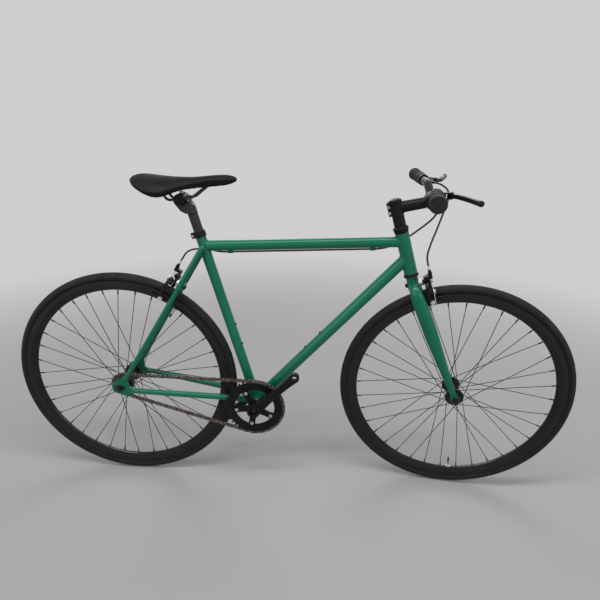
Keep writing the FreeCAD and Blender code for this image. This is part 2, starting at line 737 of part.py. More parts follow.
# Seat collar: a split ring with two ears at the back and a bolt through them
collar_bottom = seat_top - seat_up * (COLLAR_HEIGHT - COLLAR_LIP)
collar_r = SEAT_TUBE_R + COLLAR_WALL
ear = Part.makeBox(COLLAR_EAR, COLLAR_EAR_WIDTH, COLLAR_HEIGHT,
                   V(-collar_r - COLLAR_EAR + COLLAR_WALL, -COLLAR_EAR_WIDTH / 2, 0))
collar = Part.makeCylinder(collar_r, COLLAR_HEIGHT).fuse(ear)
collar = collar.cut(Part.makeCylinder(SEAT_TUBE_R, COLLAR_HEIGHT - COLLAR_LIP))
collar = collar.cut(Part.makeCylinder(POST_R + RUNNING_GAP, COLLAR_HEIGHT + OVERRUN))
collar = collar.cut(Part.makeBox(collar_r + COLLAR_EAR, SEAT_SLOT_WIDTH, COLLAR_HEIGHT + OVERRUN * 2,
                                 V(-collar_r - COLLAR_EAR, -SEAT_SLOT_WIDTH / 2, -OVERRUN)))
bolt_at = V(-collar_r - COLLAR_EAR / 2 + COLLAR_WALL, 0, COLLAR_HEIGHT / 2)
bolt_half = ACROSS * (COLLAR_EAR_WIDTH / 2)
collar_bolt = rod(bolt_at - bolt_half, bolt_at + bolt_half, COLLAR_BOLT_R)
collar = collar.cut(collar_bolt)
head = rod(bolt_at - bolt_half - ACROSS * COLLAR_BOLT_HEAD, bolt_at - bolt_half, COLLAR_BOLT_HEAD_R)
collar_bolt = collar_bolt.fuse(head)
parts["seat_collar"] = group([placed(piece, collar_bottom, seat_ahead, ACROSS)
                              for piece in (collar, collar_bolt)])


# Wheels: every ring is turned about the axle, from a profile of (across the wheel, radius)
def ring_point(across, radius):
    return V(radius, across, 0)


def spun(wire, axle):
    shape = Part.Face(wire).revolve(ORIGIN, ACROSS, 360)
    shape.translate(axle)
    return shape


def rim(axle, valve_hole):
    """A hollow rim with flat brake tracks. The valve hole opens its inner chamber."""
    edge = RIM_WIDTH / 2
    crown = RIM_CROWN_WIDTH / 2
    shoulder_r = rim_inner_r + RIM_WALL
    outer = Part.makePolygon([ring_point(*corner) for corner in (
        (-edge, rim_edge_r), (-edge, rim_track_r), (-crown, shoulder_r), (-crown / 2, rim_inner_r),
        (crown / 2, rim_inner_r), (crown, shoulder_r), (edge, rim_track_r), (edge, rim_edge_r),
        (edge - RIM_WALL, rim_edge_r), (edge - RIM_WALL, rim_bed_r), (RIM_WALL - edge, rim_bed_r),
        (RIM_WALL - edge, rim_edge_r), (-edge, rim_edge_r))])
    chamber_edge = edge - RIM_WALL
    chamber_crown = crown - RIM_WALL / 2
    chamber = Part.makePolygon([ring_point(*corner) for corner in (
        (-chamber_edge, rim_bed_r - RIM_WALL), (-chamber_edge, rim_track_r),
        (-chamber_crown, shoulder_r + RIM_WALL), (chamber_crown, shoulder_r + RIM_WALL),
        (chamber_edge, rim_track_r), (chamber_edge, rim_bed_r - RIM_WALL),
        (-chamber_edge, rim_bed_r - RIM_WALL))])
    return spun(outer, axle).cut(spun(chamber, axle)).cut(valve_hole)


def tyre(axle):
    """A tyre open towards the axle, whose two beads stand between the rim walls."""
    half = TYRE_WIDTH / 2
    bead = RIM_WIDTH / 2 - RIM_WALL - BEAD_GAP
    bead_r = rim_bed_r + BEAD_GAP / 2
    neck_r = rim_edge_r + BEAD_GAP
    belly = (bead + half * 3) / 4
    inner = half - TYRE_WALL
    inner_bead = bead - TYRE_WALL
    belly_r = (neck_r + tyre_centre_r) / 2 - BEAD_GAP
    return spun(outline(
        ring_point(-bead, bead_r), ring_point(-bead, neck_r),
        (ring_point(-belly, belly_r), ring_point(-half, tyre_centre_r)),
        (ring_point(0, WHEEL_R), ring_point(half, tyre_centre_r)),
        (ring_point(belly, belly_r), ring_point(bead, neck_r)),
        ring_point(bead, bead_r), ring_point(inner_bead, bead_r), ring_point(inner_bead, neck_r),
        ring_point(inner, tyre_centre_r),
        (ring_point(0, WHEEL_R - TYRE_WALL), ring_point(-inner, tyre_centre_r)),
        ring_point(-inner_bead, neck_r), ring_point(-inner_bead, bead_r), ring_point(-bead, bead_r)), axle)


def inner_tube(axle, valve_angle):
    """An air tube inside the tyre. Its valve stem stands through the rim."""
    air_r = (TYRE_WIDTH / 2 - TYRE_WALL) * TUBE_AIR_SHARE
    centre_r = WHEEL_R - TYRE_WALL - RUNNING_GAP - air_r
    spoke_way = polar(1, valve_angle)
    stem_end = axle + spoke_way * (rim_inner_r - VALVE_LENGTH)
    stem_root = axle + spoke_way * centre_r
    skin = Part.makeTorus(centre_r, air_r, axle, ACROSS).fuse(rod(stem_end, stem_root, VALVE_R))
    nut = hexagon(stem_end + spoke_way * (VALVE_LENGTH - VALVE_R), spoke_way, VALVE_R * 4, VALVE_R)
    skin = skin.fuse(nut)
    air = Part.makeTorus(centre_r, air_r - TUBE_SKIN, axle, ACROSS)
    return skin.cut(air.fuse(rod(stem_end - spoke_way * OVERRUN, stem_root, VALVE_BORE)))


def spoke(axle, flange_y, side, lead, hub_angle):
    """One spoke: a head and elbow in the flange, a straight run and its nipple at the rim."""
    out = ACROSS * side
    elbow = flange_y + lead * (FLANGE_THICKNESS / 2 + SPOKE_R + SPOKE_LEAN_ROOM * (lead > 0))
    far_face = flange_y - lead * FLANGE_THICKNESS / 2
    rim_angle = hub_angle + lead * SPOKE_CROSSES * 720 / SPOKE_COUNT
    hole = axle + polar(FLANGE_HOLE_CIRCLE_R, hub_angle)
    root = hole + out * elbow
    end = axle + polar(rim_inner_r - NIPPLE_R / 2, rim_angle) + out * SPOKE_RIM_OFFSET
    way = (end - root).normalize()
    return rod(root, end, SPOKE_R).multiFuse([
        Part.makeSphere(SPOKE_R, root), rod(hole + out * far_face, root, SPOKE_R),
        rod(hole + out * (far_face - lead * SPOKE_HEAD), hole + out * far_face, SPOKE_HEAD_R),
        rod(end - way * NIPPLE_LENGTH, end, NIPPLE_R)])


def spokes(axle, flange_y):
    """Both sides of a wheel's crossed spokes. One of each kind is made and then copied."""
    per_side = SPOKE_COUNT // 2
    hole_step = 360 / per_side
    laced = []
    for side in (1, -1):
        for lead in (1, -1):
            first_hole = hole_step * ((1 - lead) / 2 + (1 - side) / 4)
            pattern = spoke(axle, flange_y, side, lead, first_hole)
            for copy_index in range(per_side // 2):
                copy = pattern.copy()
                copy.rotate(axle, ACROSS, -copy_index * hole_step * 2)
                laced.append(copy)
    return group(laced)


def hub(axle, flange_y, ends):
    """A hub shell with two drilled flanges and a bearing ring at each end."""
    flange = FLANGE_THICKNESS / 2
    left_end, right_end = ends
    bore = AXLE_R + HUB_WAIST_R / 4
    profile = [(bore, -right_end), (HUB_SHELL_R, -right_end), (HUB_SHELL_R, -flange_y - flange),
               (FLANGE_R, -flange_y - flange), (FLANGE_R, flange - flange_y),
               (HUB_SHELL_R, flange - flange_y), (HUB_WAIST_R, flange - flange_y / 2),
               (HUB_WAIST_R, flange_y / 2 - flange), (HUB_SHELL_R, flange_y - flange),
               (FLANGE_R, flange_y - flange), (FLANGE_R, flange_y + flange),
               (HUB_SHELL_R, flange_y + flange), (HUB_SHELL_R, left_end), (bore, left_end)]
    shell = turned(profile, axle, ACROSS)
    holes = []
    hole_step = 720 / SPOKE_COUNT
    for index in range(SPOKE_COUNT // 2):
        for side in (1, -1):
            at = axle + polar(FLANGE_HOLE_CIRCLE_R, hole_step * (index + (1 - side) / 4))
            out = ACROSS * side
            holes.append(rod(at + out * (flange_y - OVERRUN), at + out * (flange_y + OVERRUN), SPOKE_R))
    bearings = []
    for end, side in ((left_end, 1), (right_end, -1)):
        inner = axle + ACROSS * side * (end - HUB_BEARING)
        shell = shell.cut(rod(inner, inner + ACROSS * side * (HUB_BEARING + OVERRUN), HUB_BEARING_R))
        bearings.append(tube(inner, axle + ACROSS * side * end, HUB_BEARING_R, AXLE_R + BEARING_FIT))
    return shell.cut(group(holes)), bearings


def axle_set(axle, spacing, length, plate):
    """A threaded axle with a cone, a washer and a nut on each side."""
    pieces = [rod(axle - ACROSS * (length / 2), axle + ACROSS * (length / 2), AXLE_R)]
    for side in (1, -1):
        out = ACROSS * side
        inside = axle + out * (spacing / 2)
        outside = inside + out * plate
        pieces.append(tube(inside - out * CONE_LENGTH, inside, CONE_R, AXLE_R))
        pieces.append(tube(outside, outside + out * NUT_WASHER, NUT_WASHER_R, AXLE_R))
        nut = hexagon(outside + out * NUT_WASHER, out, NUT_FLATS, NUT_HEIGHT)
        pieces.append(nut.cut(rod(outside, outside + out * (NUT_HEIGHT + OVERRUN), AXLE_R)))
    return group(pieces)


def valve_hole(axle, angle):
    way = polar(1, angle)
    return rod(axle + way * (rim_inner_r - OVERRUN), axle + way * (rim_bed_r + OVERRUN), VALVE_R + BEAD_GAP)


front_end_y = FRONT_HUB_SPACING / 2 - CONE_LENGTH - RUNNING_GAP
rear_end_y = REAR_HUB_SPACING / 2 - CONE_LENGTH - RUNNING_GAP
parts["front_tyre"] = tyre(front_axle)
parts["front_rim"] = rim(front_axle, valve_hole(front_axle, FRONT_VALVE_ANGLE))
parts["front_inner_tube"] = inner_tube(front_axle, FRONT_VALVE_ANGLE)
parts["front_spokes"] = spokes(front_axle, FRONT_FLANGE_Y)
front_shell, front_bearings = hub(front_axle, FRONT_FLANGE_Y, (front_end_y, front_end_y))
parts["front_hub"] = group([front_shell] + front_bearings)
parts["front_axle"] = axle_set(front_axle, FRONT_HUB_SPACING, AXLE_FRONT_LENGTH, FORK_DROPOUT_THICKNESS)
parts["rear_tyre"] = tyre(rear_axle)
parts["rear_rim"] = rim(rear_axle, valve_hole(rear_axle, REAR_VALVE_ANGLE))
parts["rear_inner_tube"] = inner_tube(rear_axle, REAR_VALVE_ANGLE)
parts["rear_spokes"] = spokes(rear_axle, REAR_FLANGE_Y)
rear_shell, rear_bearings = hub(rear_axle, REAR_FLANGE_Y, (rear_end_y, rear_end_y))
cog_seat = tube(rear_axle - ACROSS * REAR_FLANGE_Y, rear_axle - ACROSS * (CHAINLINE + LOCKRING_WIDTH * 2),
                COG_THREAD_R, HUB_SHELL_R - BEARING_FIT)
cog_shoulder_r = FLANGE_HOLE_CIRCLE_R - SPOKE_HEAD_R - RUNNING_GAP * 2
cog_shoulder = tube(rear_axle - ACROSS * REAR_FLANGE_Y,
                    rear_axle - ACROSS * (CHAINLINE - SPROCKET_THICKNESS / 2), cog_shoulder_r, HUB_SHELL_R)
rear_shell = rear_shell.multiFuse([cog_seat, cog_shoulder])
parts["rear_hub"] = group([rear_shell] + rear_bearings)
parts["rear_axle"] = axle_set(rear_axle, REAR_HUB_SPACING, AXLE_REAR_LENGTH, DROPOUT_THICKNESS)


# Sprockets: one seat arc for each roller, two straight flanks and a flat tip for each tooth
def sprocket(centre, teeth, pitch_r, seat_angle):
    seat_r = ROLLER_R + ROLLER_SEAT_GAP
    tip_r = pitch_r + TOOTH_ADDENDUM
    tip_half = math.degrees(TOOTH_TIP / 2 / tip_r)
    step = 360 / teeth

    def seat_end(angle, sweep):
        return polar(pitch_r, angle) - polar(seat_r, angle + sweep)

    edges = []
    for tooth in range(teeth):
        angle = seat_angle + tooth * step
        start = seat_end(angle, SEAT_HALF_SWEEP)
        bottom = polar(pitch_r - seat_r, angle)
        end = seat_end(angle, -SEAT_HALF_SWEEP)
        first_tip = polar(tip_r, angle + step / 2 - tip_half)
        last_tip = polar(tip_r, angle + step / 2 + tip_half)
        edges.append(Part.Arc(start, bottom, end).toShape())
        edges.append(Part.LineSegment(end, first_tip).toShape())
        edges.append(Part.LineSegment(first_tip, last_tip).toShape())
        edges.append(Part.LineSegment(last_tip, seat_end(angle + step, SEAT_HALF_SWEEP)).toShape())
    shape = slab(Part.Wire(edges), ACROSS * SPROCKET_THICKNESS)
    shape.translate(centre - ACROSS * (CHAINLINE + SPROCKET_THICKNESS / 2))
    return shape


# The chain's own axes: from the cog to the ring, and square to that line
chain_along = (bottom_bracket - rear_axle).normalize()
chain_over = V(-chain_along.z, 0, chain_along.x)
roller_places = [rear_axle + chain_along * point.x + chain_over * point.z for point in rollers]


def seat_angle_on(centre, pitch_r, ahead):
    """The angle of the roller that sits deepest in a sprocket's wrap."""
    way = chain_along * ahead
    deepest = max(roller_places, key=lambda place: (place - centre).dot(way))
    offset = deepest - centre
    return math.degrees(math.atan2(offset.z, offset.x))


cog = sprocket(rear_axle, COG_TEETH, COG_PITCH_R, seat_angle_on(rear_axle, COG_PITCH_R, -1))
cog_face = rear_axle - ACROSS * (CHAINLINE + SPROCKET_THICKNESS / 2)
parts["cog"] = cog.cut(rod(rear_axle, cog_face - ACROSS * OVERRUN, COG_THREAD_R))
lockring = tube(cog_face, cog_face - ACROSS * LOCKRING_WIDTH, LOCKRING_R, COG_THREAD_R)
notch_depth = (LOCKRING_R - COG_THREAD_R) / 2
for notch in range(6):
    at = cog_face + polar(LOCKRING_R, notch * 60)
    lockring = lockring.cut(rod(at, at - ACROSS * (LOCKRING_WIDTH + OVERRUN), notch_depth))
parts["lockring"] = lockring

# Chainring: a toothed ring whose five inner tabs are bolted to the spider
ring_centre = bottom_bracket - ACROSS * (CHAINLINE + SPROCKET_THICKNESS / 2)
spider_angles = [CRANK_REST_ANGLE + arm * 360 / SPIDER_ARMS for arm in range(SPIDER_ARMS)]
ring_through = ACROSS * (SPROCKET_THICKNESS + OVERRUN)
ring = sprocket(bottom_bracket, RING_TEETH, RING_PITCH_R, seat_angle_on(bottom_bracket, RING_PITCH_R, 1))
ring = ring.cut(rod(ring_centre - ACROSS * OVERRUN, ring_centre + ring_through, RING_INNER_R))
tabs = []
tab_holes = []
for angle in spider_angles:
    hole = ring_centre + polar(RING_BOLT_CIRCLE_R, angle)
    root = ring_centre + polar(RING_INNER_R + RING_TAB_R / 2, angle)
    sideways = polar(RING_TAB_R, angle + 90)
    tab = outline(hole + sideways, root + sideways, root - sideways, hole - sideways, hole + sideways)
    tabs.append(rod(hole, hole + ACROSS * SPROCKET_THICKNESS, RING_TAB_R))
    tabs.append(slab(tab, ACROSS * SPROCKET_THICKNESS))
    tab_holes.append(rod(hole - ACROSS * OVERRUN, hole + ring_through, RING_BOLT_R))
parts["chainring"] = ring.multiFuse(tabs).cut(group(tab_holes)).removeSplitter()

# Chainring bolts: sleeve nut and head, which clamp the ring to the spider
ring_bolts = []
for angle in spider_angles:
    hole = ring_centre + polar(RING_BOLT_CIRCLE_R, angle)
    inner = hole + ACROSS * SPROCKET_THICKNESS
    outer = hole - ACROSS * SPIDER_THICKNESS
    bolt = rod(outer, inner, RING_BOLT_R)
    head_top = outer - ACROSS * RING_BOLT_HEAD
    bolt = bolt.multiFuse([rod(inner, inner + ACROSS * RING_BOLT_HEAD, RING_BOLT_HEAD_R),
                           rod(head_top, outer, RING_BOLT_HEAD_R)])
    ring_bolts.append(bolt.cut(hexagon(head_top, ACROSS, RING_BOLT_R, RING_BOLT_HEAD)))
parts["chainring_bolts"] = group(ring_bolts)


# Cranks: a tapered forged arm with a square socket at the spindle and a threaded pedal eye
def crank_arm(side, angle):
    out = ACROSS * side
    way = polar(1, angle)
    over = polar(1, angle + 90)
    face = bottom_bracket + out * (CRANK_OUTER_Y - CRANK_THICKNESS)
    eye = face + way * CRANK_LENGTH
    waist = face + way * (CRANK_LENGTH / 2)
    boss_side = over * CRANK_BOSS_R
    eye_side = over * CRANK_EYE_R
    waist_side = over * CRANK_WAIST
    arm = slab(outline(
        face + boss_side, (face - way * CRANK_BOSS_R, face - boss_side),
        (waist - waist_side, eye - eye_side), (eye + way * CRANK_EYE_R, eye + eye_side),
        (waist + waist_side, face + boss_side)), out * CRANK_THICKNESS)
    inner_y = CHAINLINE + SPROCKET_THICKNESS / 2
    boss = rod(bottom_bracket + out * inner_y, face, CRANK_BOSS_R)
    arm = arm.fuse(boss)
    eye_hole = rod(eye - out * OVERRUN, eye + out * (CRANK_THICKNESS + OVERRUN), PEDAL_THREAD_R)
    socket = placed(Part.makeBox(SPINDLE_SQUARE, SPINDLE_SQUARE, SPINDLE_LENGTH,
                                 V(-SPINDLE_SQUARE / 2, -SPINDLE_SQUARE / 2, -SPINDLE_LENGTH / 2)),
                    bottom_bracket, way, over)
    spindle_end = bottom_bracket + out * (SPINDLE_LENGTH / 2)
    bolt_hole = rod(bottom_bracket, spindle_end + out * CRANK_THICKNESS, CRANK_BOLT_R)
    pocket_end = spindle_end + out * (CRANK_THICKNESS + OVERRUN)
    pocket = rod(spindle_end + out * RUNNING_GAP, pocket_end, CRANK_POCKET_R)
    return arm.cut(eye_hole).cut(socket).cut(bolt_hole).cut(pocket)


def spider():
    arms = []
    for angle in spider_angles:
        hole = ring_centre + polar(RING_BOLT_CIRCLE_R, angle)
        root_side = polar(SPIDER_ROOT_WIDTH / 2, angle + 90)
        tip_side = polar(SPIDER_TIP_WIDTH / 2, angle + 90)
        blade = slab(outline(ring_centre + root_side, hole + tip_side, hole - tip_side,
                             ring_centre - root_side, ring_centre + root_side), ACROSS * -SPIDER_THICKNESS)
        blade = blade.fuse(rod(hole, hole - ACROSS * SPIDER_THICKNESS, RING_TAB_R))
        bolt_hole = rod(hole + ACROSS * OVERRUN, hole - ACROSS * (SPIDER_THICKNESS + OVERRUN), RING_BOLT_R)
        arms.append(blade.cut(bolt_hole))
    core = rod(ring_centre, ring_centre - ACROSS * SPIDER_THICKNESS, CRANK_BOSS_R)
    return core.multiFuse(arms)


spindle_way = polar(1, CRANK_REST_ANGLE)
square_start = CHAINLINE + SPROCKET_THICKNESS / 2
square = placed(Part.makeBox(SPINDLE_SQUARE, SPINDLE_SQUARE, SPINDLE_LENGTH,
                             V(-SPINDLE_SQUARE / 2, -SPINDLE_SQUARE / 2, -SPINDLE_LENGTH / 2)),
                bottom_bracket, spindle_way, polar(1, CRANK_REST_ANGLE + 90))
journal = rod(bottom_bracket - ACROSS * square_start, bottom_bracket + ACROSS * square_start, SPINDLE_R)
crank_bolts = []
for side in (1, -1):
    end = bottom_bracket + ACROSS * side * (SPINDLE_LENGTH / 2)
    head_in = end + ACROSS * side * RUNNING_GAP
    crank_bolts.append(rod(end, end + ACROSS * side * CRANK_BOLT_HEAD, CRANK_BOLT_R))
    crank_bolts.append(hexagon(head_in, ACROSS * side, CRANK_BOLT_HEAD_R * 2, CRANK_BOLT_HEAD))
spindle = journal.multiFuse([square] + crank_bolts)
parts["crank_spindle"] = spindle
crank_right = crank_arm(-1, CRANK_REST_ANGLE).fuse(spider().cut(square)).removeSplitter()
parts["crank_right"] = crank_right.cut(spindle)
parts["crank_left"] = crank_arm(1, CRANK_REST_ANGLE + 180).cut(spindle)


# Chain: outer links carry the pins, inner links carry the rollers that the pins pass through
def link_plate(inner_face, side):
    end = CHAIN_PITCH / 2
    sweep = math.radians(PLATE_END_SWEEP)
    neck_x = end + PLATE_END_R * math.cos(sweep)
    neck_z = PLATE_END_R * math.sin(sweep)
    y = inner_face * side
    wire = outline(V(neck_x, y, -neck_z), (V(end + PLATE_END_R, y, 0), V(neck_x, y, neck_z)),
                   (V(0, y, PLATE_WAIST), V(-neck_x, y, neck_z)),
                   (V(-end - PLATE_END_R, y, 0), V(-neck_x, y, -neck_z)),
                   (V(0, y, -PLATE_WAIST), V(neck_x, y, -neck_z)))
    return slab(wire, ACROSS * (PLATE_THICKNESS * side))


inner_face = SPROCKET_THICKNESS / 2 + SPROCKET_SIDE_GAP
outer_face = inner_face + PLATE_THICKNESS + PLATE_GAP
pin_half = outer_face + PLATE_THICKNESS + PIN_HEAD
link_ends = [V(-CHAIN_PITCH / 2, 0, 0), V(CHAIN_PITCH / 2, 0, 0)]
outer_link = link_plate(outer_face, 1).multiFuse(
    [link_plate(outer_face, -1)] + [rod(end - ACROSS * pin_half, end + ACROSS * pin_half, PIN_R)
                                    for end in link_ends])
inner_link = link_plate(inner_face, 1).multiFuse(
    [link_plate(inner_face, -1)] + [rod(end - ACROSS * inner_face, end + ACROSS * inner_face, ROLLER_R)
                                    for end in link_ends])
for end in link_ends:
    inner_link = inner_link.cut(rod(end - ACROSS * pin_half, end + ACROSS * pin_half, PIN_R + PLATE_GAP))
links = []
for index, place in enumerate(roller_places):
    following = roller_places[(index + 1) % CHAIN_LINKS]
    way = (following - place).normalize()
    middle = (place + following) / 2 - ACROSS * CHAINLINE
    links.append(placed(outer_link if index % 2 else inner_link, middle, way, ACROSS))
parts["chain"] = group(links)


def limb(points, radii, low, high):
    """A flat arm along points of (x, y), rounded at each of them, between two heights."""
    pieces = []
    for (x, y), radius in zip(points, radii):
        pieces.append(Part.makeCylinder(radius, high - low, V(x, y, low)))
    for start, end, r1, r2 in zip(points, points[1:], radii, radii[1:]):
        a = V(start[0], start[1], low)
        b = V(end[0], end[1], low)
        side = (b - a).normalize().cross(LIFT)
        corners = [a + side * r1, b + side * r2, b - side * r2, a - side * r1]
        pieces.append(slab(Part.makePolygon(corners + corners[:1]), LIFT * (high - low)))
    return pieces[0].multiFuse(pieces[1:]).removeSplitter()


# Fork steerer: a tube with a crown sleeve at its foot and the lower bearing race on it
steerer_bore = STEERER_R - STEERER_WALL
sleeve_foot = steer(0, 0, CROWN_UP - BLADE_ROOT_HALF)
sleeve_rod = rod(sleeve_foot, steer(0, 0, CROWN_TOP_UP), CROWN_SLEEVE_R)
race_top = steer(0, 0, CROWN_TOP_UP + CROWN_RACE)
bore_reach = CROWN_SLEEVE_R + OVERRUN
brake_bore = rod(steer(-bore_reach, 0, CROWN_UP), steer(bore_reach, 0, CROWN_UP), CALIPER_BOLT_R)
steerer = sleeve_rod.multiFuse([rod(steer(0, 0, CROWN_TOP_UP), race_top, CUP_R),
                                rod(race_top, steer(0, 0, stem_top_up - RUNNING_GAP), STEERER_R)])
steerer = steerer.cut(rod(sleeve_foot - steer_up * OVERRUN, steer(0, 0, stem_top_up), steerer_bore))
parts["fork_steerer"] = steerer.cut(brake_bore)

# Fork dropouts: round plates with a tab for the blade and a slot that opens downwards
fork_plate_y = FRONT_HUB_SPACING / 2
plate_depth = ACROSS * FORK_DROPOUT_THICKNESS
tab_half = BLADE_TIP_R
plate_centre = steer(FORK_RAKE, fork_plate_y, 0)
tab_top = steer(FORK_RAKE - BLADE_TIP_BACK, fork_plate_y, FORK_DROPOUT_TAB)
fork_plate = rod(plate_centre, plate_centre + plate_depth, FORK_DROPOUT_R)
fork_plate = fork_plate.fuse(slab(Part.makePolygon([
    plate_centre - steer_ahead * FORK_DROPOUT_R, plate_centre + steer_ahead * FORK_DROPOUT_R,
    tab_top + steer_ahead * tab_half, tab_top - steer_ahead * tab_half,
    plate_centre - steer_ahead * FORK_DROPOUT_R]), plate_depth)).removeSplitter()
slot_top = plate_centre - ACROSS * OVERRUN
slot_drop = steer_up * -(FORK_DROPOUT_R + OVERRUN)
slot_side = steer_ahead * axle_room
fork_slot = slab(outline(
    slot_top - slot_side, (slot_top + steer_up * axle_room, slot_top + slot_side),
    slot_top + slot_side + slot_drop, slot_top - slot_side + slot_drop, slot_top - slot_side),
    plate_depth + ACROSS * (OVERRUN * 2))
fork_plate = fork_plate.cut(fork_slot)
parts["fork_dropouts"] = group([fork_plate, mirrored(fork_plate)])

# Fork blades: each bends out of the crown into a flat oval, then runs straight and raked to its dropout
crown = steer(0, 0, CROWN_UP)
blade_tip = steer(FORK_RAKE - BLADE_TIP_BACK, fork_plate_y + FORK_DROPOUT_THICKNESS / 2, BLADE_TIP_UP)
blade_down = (steer(FORK_RAKE - BLADE_TIP_BACK, 0, BLADE_TIP_UP) - crown).normalize()
blade_root = crown + ACROSS * CROWN_ROOT
blade_ahead = ACROSS.cross(blade_down)
bend_centre = blade_root + blade_down * CROWN_BEND_R
bend_end = bend_centre + ACROSS * CROWN_BEND_R


def oval(centre, half_breadth, half_depth):
    return Part.Wire(Part.Ellipse(centre + half_breadth, centre + half_depth, centre).toShape())


def bend_oval(share):
    turn = math.radians(90 * share)
    reach = ACROSS * math.sin(turn) - blade_down * math.cos(turn)
    half_breadth = BLADE_ROOT_HALF + (BLADE_HALF_BREADTH - BLADE_ROOT_HALF) * share ** 2
    return oval(bend_centre + reach * CROWN_BEND_R, blade_ahead * half_breadth, reach * BLADE_HALF_DEPTH)


BEND_SHARES = (0.0, 0.25, 0.5, 0.75, 1.0)
bend = Part.makeLoft([bend_oval(share) for share in BEND_SHARES], True, False)
blade_waist = bend_end + (blade_tip - bend_end) * BLADE_WAIST_SHARE
blade_cap = blade_tip + blade_down * (BLADE_TIP_R / 2)
straight = Part.makeLoft([
    bend_oval(BEND_SHARES[-1]),
    oval(blade_waist, blade_ahead * BLADE_HALF_BREADTH, ACROSS * BLADE_HALF_DEPTH),
    oval(blade_tip, blade_ahead * BLADE_TIP_HALF, ACROSS * BLADE_TIP_R),
    oval(blade_cap, blade_ahead * (BLADE_TIP_HALF / 2), ACROSS * (BLADE_TIP_R / 2))], True, True)
stub = Part.Face(bend_oval(BEND_SHARES[0])).extrude(crown - blade_root)
blade = stub.multiFuse([bend, straight])
blade = blade.cut(sleeve_rod).cut(fork_plate).cut(fork_slot)
parts["fork_blades"] = group([blade, mirrored(blade)])

# Headset cover, spacer and top cap on the steerer
cover_foot = cup_top_up + RUNNING_GAP
cover = turned([(STEERER_R, 0), (flare_r, 0), (flare_r, HEADSET_COVER / 3), (SPACER_R, HEADSET_COVER),
                (STEERER_R, HEADSET_COVER)], steer(0, 0, cover_foot), steer_up)
spacer = tube(steer(0, 0, cover_top_up), steer(0, 0, stem_bottom_up), SPACER_R, STEERER_R)
parts["headset_spacer"] = group([cover, spacer])
CAP_DOME_SHARES = ((1.0, 0.33), (0.75, 0.8))
cap_dome = [(CAP_R * wide, CAP_HEIGHT * high) for wide, high in CAP_DOME_SHARES]
cap_socket = [(STEM_BOLT_HEAD_R, CAP_HEIGHT), (STEM_BOLT_HEAD_R, CAP_HEIGHT / 2), (0, CAP_HEIGHT / 2)]
parts["top_cap"] = turned([(0, 0), (CAP_R, 0)] + cap_dome + cap_socket, steer(0, 0, stem_top_up), steer_up)

# Stem: a steerer clamp split at the back, a round arm and a bar clamp with a bolted faceplate
stem_middle = V(0, 0, STEM_HEIGHT / 2)
bar_middle = V(STEM_REACH, 0, STEM_HEIGHT / 2 - STEM_ARM_DROP)
bar_half = ACROSS * (BAR_CLAMP_WIDTH / 2)
bar_clamp_r = BAR_CLAMP_R + BAR_CLAMP_WALL
lug_high = FACEPLATE_BOLT_RISE + STEM_BOLT_R + RUNNING_GAP
bar_clamp = rod(bar_middle - bar_half, bar_middle + bar_half, bar_clamp_r)
lug = Part.makeBox(BAR_CLAMP_R, BAR_CLAMP_WIDTH, lug_high * 2,
                   bar_middle - bar_half - V(BAR_CLAMP_R / 2, 0, lug_high))
bar_clamp = bar_clamp.fuse(lug).cut(rod(bar_middle - bar_half * 2, bar_middle + bar_half * 2, BAR_CLAMP_R))
big = bar_clamp_r * 2
front_half = Part.makeBox(big, BAR_CLAMP_WIDTH, big * 2,
                          bar_middle - bar_half + V(FACEPLATE_GAP / 2, 0, -big))
rear_half = Part.makeBox(big, BAR_CLAMP_WIDTH, big * 2,
                         bar_middle - bar_half - V(FACEPLATE_GAP / 2 + big, 0, big))
ear_back = STEM_CLAMP_R + STEM_EAR / 2
stem_ear = Part.makeBox(STEM_CLAMP_R, STEM_EAR_WIDTH, STEM_HEIGHT, V(-ear_back, -STEM_EAR_WIDTH / 2, 0))
arm_end = bar_middle - V(BAR_CLAMP_R + BAR_CLAMP_WALL / 2, 0, 0)
stem = Part.makeCylinder(STEM_CLAMP_R, STEM_HEIGHT).multiFuse([
    stem_ear, taper(stem_middle, arm_end, STEM_ARM_ROOT_R, STEM_ARM_R), bar_clamp.common(rear_half)])
stem = stem.cut(Part.makeCylinder(STEERER_R, STEM_HEIGHT))
stem = stem.cut(rod(bar_middle - bar_half * 2, bar_middle + bar_half * 2, BAR_CLAMP_R))
stem = stem.cut(Part.makeBox(ear_back, STEM_SPLIT, STEM_HEIGHT, V(-ear_back, -STEM_SPLIT / 2, 0)))
faceplate = bar_clamp.common(front_half)
stem_bolts = []
for rise in (-1, 1):
    at = stem_middle + V(-STEM_CLAMP_R - STEM_BOLT_R / 2, 0, rise * STEM_BOLT_SPACING / 2)
    ear_half = ACROSS * (STEM_EAR_WIDTH / 2)
    bolt = rod(at - ear_half, at + ear_half, STEM_BOLT_R)
    bolt_head = rod(at - ear_half - ACROSS * STEM_BOLT_HEAD, at - ear_half, STEM_BOLT_HEAD_R)
    stem_bolts.append(bolt.fuse(bolt_head))
    for side in (-1, 1):
        at = bar_middle + V(0, side * FACEPLATE_BOLT_ACROSS / 2, rise * FACEPLATE_BOLT_RISE)
        half = V(BAR_CLAMP_R / 2, 0, 0)
        bolt = rod(at - half, at + half, STEM_BOLT_R)
        bolt_head = rod(at + half, at + half + V(STEM_BOLT_HEAD, 0, 0), STEM_BOLT_HEAD_R)
        stem_bolts.append(bolt.fuse(bolt_head))
stem_foot = steer(0, 0, stem_bottom_up)
parts["stem"] = placed(stem.cut(group(stem_bolts)), stem_foot, steer_ahead, ACROSS)
parts["stem_faceplate"] = placed(faceplate.cut(group(stem_bolts)), stem_foot, steer_ahead, ACROSS)
parts["stem_bolts"] = group([placed(bolt, stem_foot, steer_ahead, ACROSS) for bolt in stem_bolts])

